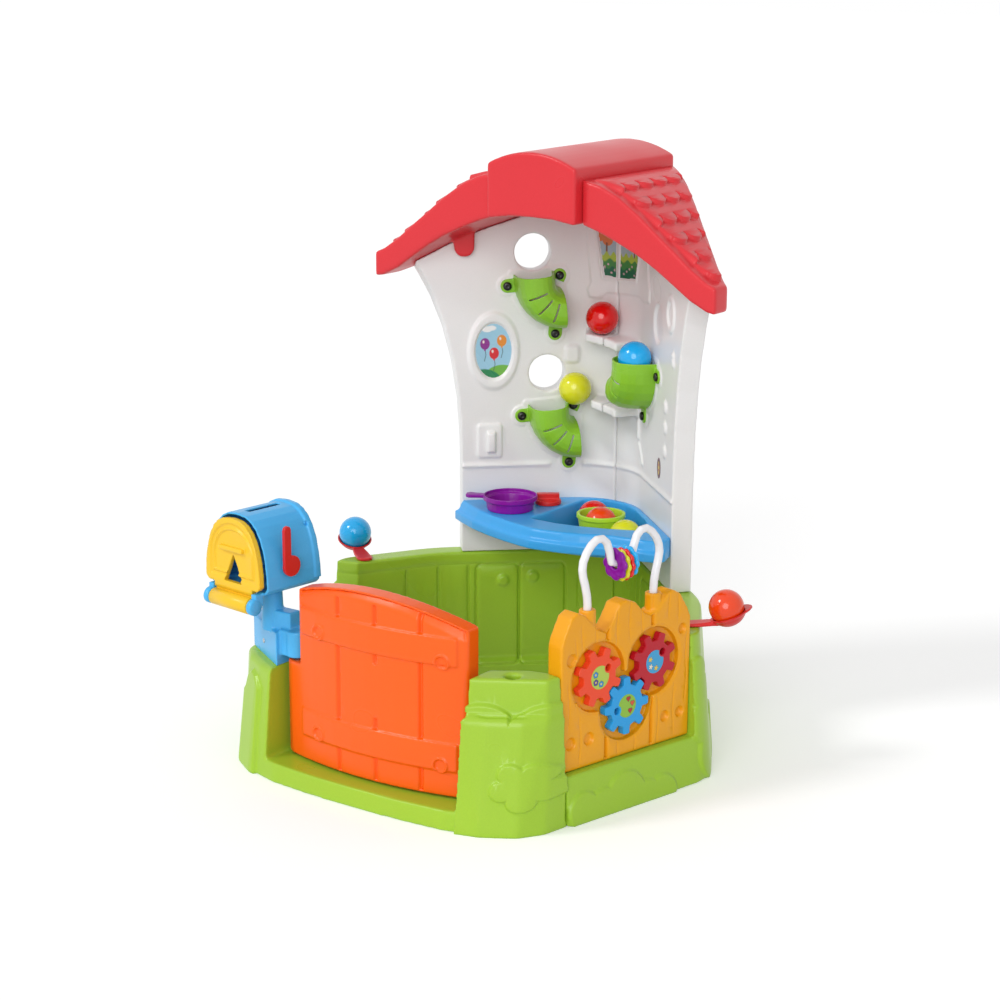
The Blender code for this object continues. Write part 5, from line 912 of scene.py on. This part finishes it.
def make_screw(node, axis):
    """Pan-head screw with a cross recess."""
    axis, foot, radius, height = measure_pin(node, axis)
    dome = 0.35 * radius
    profile = [(0.0, 0.0), (radius * 0.98, 0.0), (radius, height - dome)]
    profile += [(radius * math.cos(angle), height - dome + dome * math.sin(angle))
                for angle in [math.pi / 2 * k / 24 for k in range(1, 24)]]
    profile += [(0.0, height)]
    piece = lathe(node + "_head", profile, Matrix.Identity(4), SLOT_OF[node], steps=96)
    found = coordinates(piece.data)
    cross = np.minimum(np.maximum(np.abs(found[:, 0]) - radius * 0.55, np.abs(found[:, 1]) - radius * 0.13),
                       np.maximum(np.abs(found[:, 1]) - radius * 0.55, np.abs(found[:, 0]) - radius * 0.13))
    found[:, 2] -= 0.35 * radius * inside(cross, radius * 0.12) * (found[:, 2] > height - dome * 1.01)
    write_coordinates(piece.data, found)
    piece.data.transform(frame_on(axis, foot))
    piece.data.update()
    return stand_for(piece, node)


# Front of a bead's section: share of the way out from the bore, and share of the half thickness
BEAD_SHARES = ((0.12, 1.18), (0.24, 1.0), (0.40, 0.92), (0.56, 1.05), (0.72, 1.12), (0.86, 0.98),
               (0.95, 0.70), (1.0, 0.25))


def make_bead(node, lobes, depth, swirl):
    """Flower-shaped bead on the rail: a lobed disc with raised petals round its bore."""
    reach = solid_points(node) @ np.array(SIDE_RUN)
    low, high = [Vector(corner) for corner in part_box(node)]
    centre = (low + high) / 2
    half = (reach.max() - reach.min()) / 2
    outer = (high.z - low.z) / 2
    bore = RAIL_RADIUS + 0.0012
    count = 192
    section = [(bore, -half), (bore, half)]
    section += [(bore + (outer - bore) * share, half * lift) for share, lift in BEAD_SHARES]
    section += [(bore + (outer - bore) * share, half * -lift) for share, lift in BEAD_SHARES[::-1]]
    spots = []
    for radius, height in section:
        share = (radius - bore) / (outer - bore)
        for k in range(count):
            angle = 2 * math.pi * k / count + swirl * share
            wave = 0.5 + 0.5 * math.cos(lobes * angle)
            grown = radius * (1.0 - depth * (1.0 - wave ** 0.6) * share)
            ripple = 1.0 + (0.22 * (wave - 0.5) if 0.3 < share < 0.95 else 0.0)
            turn = 2 * math.pi * k / count
            spots.append((*polar(grown, turn), height * ripple))
    faces = []
    rings = len(section)
    for ring in range(rings):
        first, second = ring * count, (ring + 1) % rings * count
        faces += [(first + k, first + (k + 1) % count, second + (k + 1) % count, second + k)
                  for k in range(count)]
    mesh = closed_mesh(node, spots, faces, frame_on(SIDE_RUN, centre))
    return stand_for(new_piece(node + "_flower", mesh, finish(SLOT_OF[node])), node)


def bowl_profile(inner, wall, lip, rim_angle, steps=14):
    """Closed profile of an open bowl about the ball's centre, with a flat lip round its rim."""
    profile = []
    for k in range(steps + 1):
        angle = rim_angle * k / steps
        profile.append((inner * math.sin(angle), -inner * math.cos(angle)))
    rim_radius = inner * math.sin(rim_angle)
    rim_height = -inner * math.cos(rim_angle)
    profile += [(rim_radius + lip, rim_height + lip * 0.12),
                (rim_radius + lip, rim_height + lip * 0.12 - wall)]
    outer = inner + wall
    for k in range(steps + 1):
        angle = rim_angle * 0.93 * (1 - k / steps)
        profile.append((outer * math.sin(angle), -outer * math.cos(angle)))
    return profile


# Outline of a spoon's neck: share of its half width and share of its height
NECK_SHARES = ((-1.0, 0.35), (-0.85, 0.0), (0.85, 0.0), (1.0, 0.35), (0.85, 1.0), (-0.85, 1.0))


def make_spoon(node, ball_node, seat_node):
    """Moulded spoon: a tilted bowl under the ball, its neck, and a foot screwed to the corner."""
    low, high = [Vector(corner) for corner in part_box(ball_node)]
    ball = (low + high) / 2
    low, high = [Vector(corner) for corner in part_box(seat_node)]
    seat = Vector(((low.x + high.x) / 2, (low.y + high.y) / 2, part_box(node)[0][2]))
    gap = Vector((ball.x - seat.x, ball.y - seat.y, 0.0))
    away, reach = gap.normalized(), gap.length
    across = Vector((-away.y, away.x, 0.0))
    tilt = Matrix.Rotation(SPOON_TILT, 4, across)
    bowl = lathe(node + "_bowl", bowl_profile(SPOON_INNER, SPOON_WALL, SPOON_LIP, SPOON_RIM),
                 Matrix.Translation(ball) @ tilt @ frame_on((0.0, 0.0, 1.0), (0.0, 0.0, 0.0)),
                 SLOT_OF[node], steps=64)
    build = bmesh.new()
    build.from_mesh(bowl.data)
    floor = seat.z
    # Neck from the foot to under the bowl, and the pointed tip: run, half width, bottom and top
    neck = [(-0.017, 0.006, 0.0, 0.004), (-0.014, 0.012, 0.0, 0.0055), (-0.004, 0.0165, 0.0, 0.006),
            (0.012, 0.0155, 0.0, 0.006), (0.028, 0.015, 0.0, 0.007), (reach - 0.026, 0.012, 0.001, 0.009),
            (reach - 0.014, 0.008, 0.0, 0.004)]
    sections = []
    for run, width, bottom, top in neck:
        ring = []
        for across_share, up_share in NECK_SHARES:
            spot = seat + away * run + across * (width * across_share)
            spot.z = floor + bottom + (top - bottom) * up_share
            ring.append(build.verts.new(spot))
        sections.append(ring)
    for first, second in zip(sections, sections[1:]):
        for k in range(len(NECK_SHARES)):
            after = (k + 1) % len(NECK_SHARES)
            build.faces.new((first[k], first[after], second[after], second[k]))
    build.faces.new(sections[0][::-1])
    build.faces.new(sections[-1])
    rim = SPOON_INNER * math.sin(SPOON_RIM)
    drop = -SPOON_INNER * math.cos(SPOON_RIM)
    place = Matrix.Translation(ball) @ tilt
    tip = [(rim - 0.002, -0.024), (rim + 0.008, -0.015), (rim + 0.0135, -0.004), (rim + 0.0135, 0.004),
           (rim + 0.008, 0.015), (rim - 0.002, 0.024), (rim - 0.0005, 0.0)]
    upper, lower = [[build.verts.new(place @ (away * a + across * b + Vector((0.0, 0.0, drop + lift))))
                     for a, b in tip] for lift in (0.0008, -0.0024)]
    build.faces.new(upper)
    build.faces.new(lower[::-1])
    for k in range(len(tip)):
        after = (k + 1) % len(tip)
        build.faces.new((upper[k], lower[k], lower[after], upper[after]))
    bmesh.ops.recalc_face_normals(build, faces=build.faces)
    build.to_mesh(bowl.data)
    build.free()
    bowl.name = node + "_moulded"
    modify(bowl, "REMESH", mode="VOXEL", voxel_size=SPOON_VOXEL)
    modify(bowl, "SMOOTH", iterations=SPOON_ROUNDS)
    modify(bowl, "DECIMATE", ratio=SPOON_KEEP)
    settle(bowl)
    dress(bowl.data, finish(SLOT_OF[node]))
    return stand_for(bowl, node)


def gear_face(colour_name):
    """Sticker on a gear: a disc with a bite at the finger hole, and its place on the gear's front."""
    node = "gear_" + colour_name
    s, z = GEAR_PLACES[colour_name]
    _, _, out, _ = side_place(solid_points(node), 1.0)
    front = out.max()
    corner = Vector((COLUMN_CORNER_X, COLUMN_CORNER_Y, 0.0))
    turn = FINGER_TURNS[colour_name]
    hole = polar(FINGER_REACH, turn)

    def distance(u, v):
        return np.maximum(np.hypot(u, v) - STICKER_RADIUS, STICKER_BITE - np.hypot(u - hole[0], v - hole[1]))

    def place(u, v, rise):
        return corner + SIDE_RUN * (s + u) + SIDE_OUT * (front + rise) + Vector((0.0, 0.0, z + v))

    middle = polar(-0.25 * STICKER_RADIUS, turn)
    base, motif, inks, size = GEAR_PICTURES[colour_name]
    spots = [(*polar(MOTIF_REACH, turn + math.pi + (k - (len(inks) - 1) / 2) * MOTIF_STEP), ink)
             for k, ink in enumerate(inks)]
    return print_on(node + "_sticker", BODY_OF[node], distance, middle, 0.05,
                    gear_picture(base, motif, spots, size), place, count=120, rings=30)


def make_camera():
    up_tilt = Matrix.Rotation(math.pi / 2 - CAMERA_ELEVATION, 4, "X")
    turn = Matrix.Rotation(CAMERA_AZIMUTH, 4, "Z")
    roll = Matrix.Rotation(CAMERA_ROLL, 4, "Z")
    data = bpy.data.cameras.new("camera")
    data.lens = CAMERA_LENS
    data.sensor_width = CAMERA_SENSOR
    camera = show("camera", data)
    camera.matrix_world = Matrix.Translation(CAMERA_PLACE) @ turn @ up_tilt @ roll
    bpy.context.scene.camera = camera


def seen_rays(tree):
    """1 for rays from the camera or off gloss and glass, which see the background."""
    path = add_node(tree, "LightPath")
    seen = path.outputs["Is Camera Ray"]
    for kind in ("Is Glossy Ray", "Is Transmission Ray"):
        either = add_node(tree, "Math")
        either.operation = "MAXIMUM"
        tree.links.new(seen, either.inputs[0])
        tree.links.new(path.outputs[kind], either.inputs[1])
        seen = either.outputs[0]
    return seen


def make_lamp(name, source, strength, angle):
    data = bpy.data.lights.new(name, "SUN")
    data.energy = strength
    data.angle = angle
    lamp = show(name, data)
    lamp.rotation_mode = "QUATERNION"
    lamp.rotation_quaternion = source.to_track_quat("Z", "Y")


def make_light():
    make_lamp("key", KEY_FROM, KEY_STRENGTH, KEY_ANGLE)
    make_lamp("fill", FILL_FROM, FILL_STRENGTH, FILL_ANGLE)
    world = bpy.data.worlds.new("studio")
    world.use_nodes = True
    tree = world.node_tree
    sky = tree.nodes["Background"]
    strength = add_node(tree, "MapRange", To_Min=SKY_STRENGTH, To_Max=1.0)
    sky.inputs["Color"].default_value = (1.0, 1.0, 1.0, 1.0)
    tree.links.new(seen_rays(tree), strength.inputs["Value"])
    tree.links.new(strength.outputs["Result"], sky.inputs["Strength"])
    bpy.context.scene.world = world


def make_floor():
    build = bmesh.new()
    bmesh.ops.create_grid(build, x_segments=8, y_segments=8, size=FLOOR_REACH)
    mesh = mesh_from(build, "floor")
    floor = show("floor", mesh)
    paper = bpy.data.materials.new("paper")
    paper.use_nodes = True
    tree = paper.node_tree
    tree.nodes.remove(tree.nodes["Principled BSDF"])
    matte = add_node(tree, "BsdfDiffuse")
    matte.inputs["Color"].default_value = FLOOR_COLOUR
    lift = add_node(tree, "Emission")
    both = add_node(tree, "AddShader")
    share = add_node(tree, "Math")
    share.operation = "MULTIPLY"
    share.inputs[1].default_value = FLOOR_LIFT
    tree.links.new(seen_rays(tree), share.inputs[0])
    tree.links.new(share.outputs[0], lift.inputs["Strength"])
    tree.links.new(matte.outputs[0], both.inputs[0])
    tree.links.new(lift.outputs[0], both.inputs[1])
    tree.links.new(both.outputs[0], tree.nodes["Material Output"].inputs["Surface"])
    mesh.materials.append(paper)


make_camera()
make_light()
make_floor()

# Moulded solids with their voxel size, rounds of softening, share of faces kept and relief
MOULDS = (
    (("base_front",), 0.0020, 34, 0.30, front_relief),
    (("base_left", "base_right"), 0.0024, 20, 0.30, base_relief),
    (("wall_left", "wall_right"), 0.0024, 12, 0.30, wall_relief),
    (("roof_wing_left", "roof_wing_right"), 0.0024, 40, 0.35, roof_relief),
    (("roof_ridge",), 0.0024, 30, 0.30, None),
    (("countertop",), 0.0018, 12, 0.30, None),
    (("door",), 0.0018, 20, 0.35, door_relief),
    (("gear_panel",), 0.0018, 18, 0.35, panel_relief),
    (("mailbox_body",), 0.0013, 16, 0.35, mailbox_relief),
    (("mailbox_flap",), 0.0013, 5, 0.35, flap_relief),
    (("mailbox_flag",), 0.0010, 5, 0.35, None),
    (("mailbox_bracket",), 0.0016, 12, 0.35, None),
    (("upper_funnel", "lower_funnel", "right_funnel"), 0.0011, 5, 0.30, None),
    (("pan", "cup"), 0.0010, 6, 0.30, None),
    (("stove_knob",), 0.0008, 6, 0.35, None),
    (("bead_rail",), 0.0013, 8, 0.40, None),
    (("gear_orange", "gear_red", "gear_blue"), 0.0010, 6, 0.30, None),
)
MAIL_HINGE = next(joint for joint in RECORD["behaviour"]["joints"] if joint["name"] == "flap_drop")
MAIL_ACROSS = np.array(MAIL_HINGE["axis"], float)
MAIL_ACROSS /= np.linalg.norm(MAIL_ACROSS)
MAIL_ALONG = np.array((MAIL_ACROSS[1], -MAIL_ACROSS[0], 0.0))
MAIL_ALONG *= -1.0 if MAIL_ALONG[1] < 0.0 else 1.0
mail_points = solid_points("mailbox_body")
MAIL_CENTRE = (mail_points.min(axis=0) + mail_points.max(axis=0)) / 2
MAIL_REACH = (mail_points - MAIL_CENTRE) @ MAIL_ALONG
MAIL_FRONT, MAIL_BACK = MAIL_REACH.min(), MAIL_REACH.max()
MAIL_FLOOR = 0.343
MAIL_DIMPLE_Z = MAIL_FLOOR + 0.108
FLAP_SPRING = 0.060
FLAP_HALF = 0.070
FLAP_FOOT = 0.010
HINGE_THICK = 0.0150
HINGE_HALF = 0.050
HINGE_END = 0.014
HINGE_GAP = 0.0015
HINGE_BEVEL = 0.002
HINGE_PARTS = (("hinge_barrel", "mailbox_flap", "flap_yellow", -HINGE_HALF, HINGE_HALF),
               ("hinge_end_low", "house", "mail_blue", -HINGE_HALF - HINGE_END, -HINGE_HALF - HINGE_GAP),
               ("hinge_end_high", "house", "mail_blue", HINGE_HALF + HINGE_GAP, HINGE_HALF + HINGE_END))
OVAL_DEPTH = 0.0013
PANE_DEPTH = -0.0008
SCREW_POINTS = solid_points("bracket_screw")
_, _, SCREW_AXES = np.linalg.svd(SCREW_POINTS - SCREW_POINTS.mean(axis=0))
BRACKET_SCREW_AXIS = SCREW_AXES[2] * (-1.0 if SCREW_AXES[2][1] > 0.0 else 1.0)
# Ground, motif, inks and size of the motifs on each gear
GEAR_PICTURES = {
    "orange": (tint(190, 215, 90), "flower",
               [tint(60, 150, 220), tint(90, 70, 160), tint(60, 150, 220)], 0.0052),
    "red": (tint(70, 170, 225), "star",
            [tint(250, 215, 80), tint(255, 245, 220), tint(250, 215, 80)], 0.0050),
    "blue": (tint(150, 200, 70), "heart",
             [tint(190, 50, 50), tint(225, 90, 60), tint(190, 50, 50)], 0.0048),
}

for nodes, voxel, rounds, keep, relief in MOULDS:
    for node in nodes:
        shell(node, voxel, rounds, keep, relief)

for node in frame["nodes"]:
    if node.startswith("ball_"):
        make_ball(node)
    elif "_cap_" in node:
        make_cap(node, 1.0 if node.startswith("right") else -1.0)
UP = (0.0, 0.0, 1.0)
make_pin("upper_door_pin", UP)
make_pin("lower_door_pin", UP)
make_pin("flap_hinge_pin", MAIL_HINGE["axis"])
hinge_place = frame_on(MAIL_HINGE["axis"], Vector(MAIL_HINGE["pos_m"]))
for name, body, slot, low, high in HINGE_PARTS:
    profile = [(0.0, low), (HINGE_THICK - HINGE_BEVEL, low), (HINGE_THICK, low + HINGE_BEVEL),
               (HINGE_THICK, high - HINGE_BEVEL), (HINGE_THICK - HINGE_BEVEL, high), (0.0, high)]
    turned = lathe(name, profile, hinge_place, slot)
    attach(turned, body)
for name in ("blue", "orange", "red"):
    make_pin("axle_" + name, SIDE_OUT)
for name in ("left", "right"):
    make_screw(f"spoon_{name}_screw", UP)
make_screw("bracket_screw", BRACKET_SCREW_AXIS)
make_bead("bead_1", 8, 0.16, 0.9)
for node in ("bead_2", "bead_3", "bead_4"):
    make_bead(node, 10, 0.10, 0.0)
make_spoon("spoon_left", "ball_left_spoon", "spoon_left_screw")
make_spoon("spoon_right", "ball_right_spoon", "spoon_right_screw")
for name in GEAR_PLACES:
    gear_face(name)


def wall_spot(depth):
    """Placer of stickers on the white wall, some depth behind its face."""
    return lambda u, v, rise: wall_point(u, v, WALL_FACE_RADIUS + depth - rise)


print_on("oval_picture", "house", lambda u, v: oval(u, v, OVAL_FRAME, OVAL_PRINT), OVAL_FRAME, 0.08,
         balloon_picture, wall_spot(OVAL_DEPTH), count=180, rings=54)
for name, pane, middle in zip(("left", "right"), WINDOW_PANES, ((-0.020, 0.885), (0.030, 0.885))):
    print_on(name + "_window_picture", "house", lambda u, v, pane=pane: area(u, v, pane) + 0.0005,
             middle, 0.09, garden_picture, wall_spot(PANE_DEPTH), count=200, rings=44)
print_on("small_badge", "house", lambda u, v: oval(u, v, BADGE, BADGE_HALF), BADGE, 0.03,
         badge_picture, wall_spot(0.0), count=96, rings=20)

for node, thing in frame["nodes"].items():
    if not thing.hide_render:
        thing.data.materials.clear()
        thing.data.materials.append(finish(SLOT_OF[node]))

bpy.context.scene.view_settings.view_transform = "Standard"
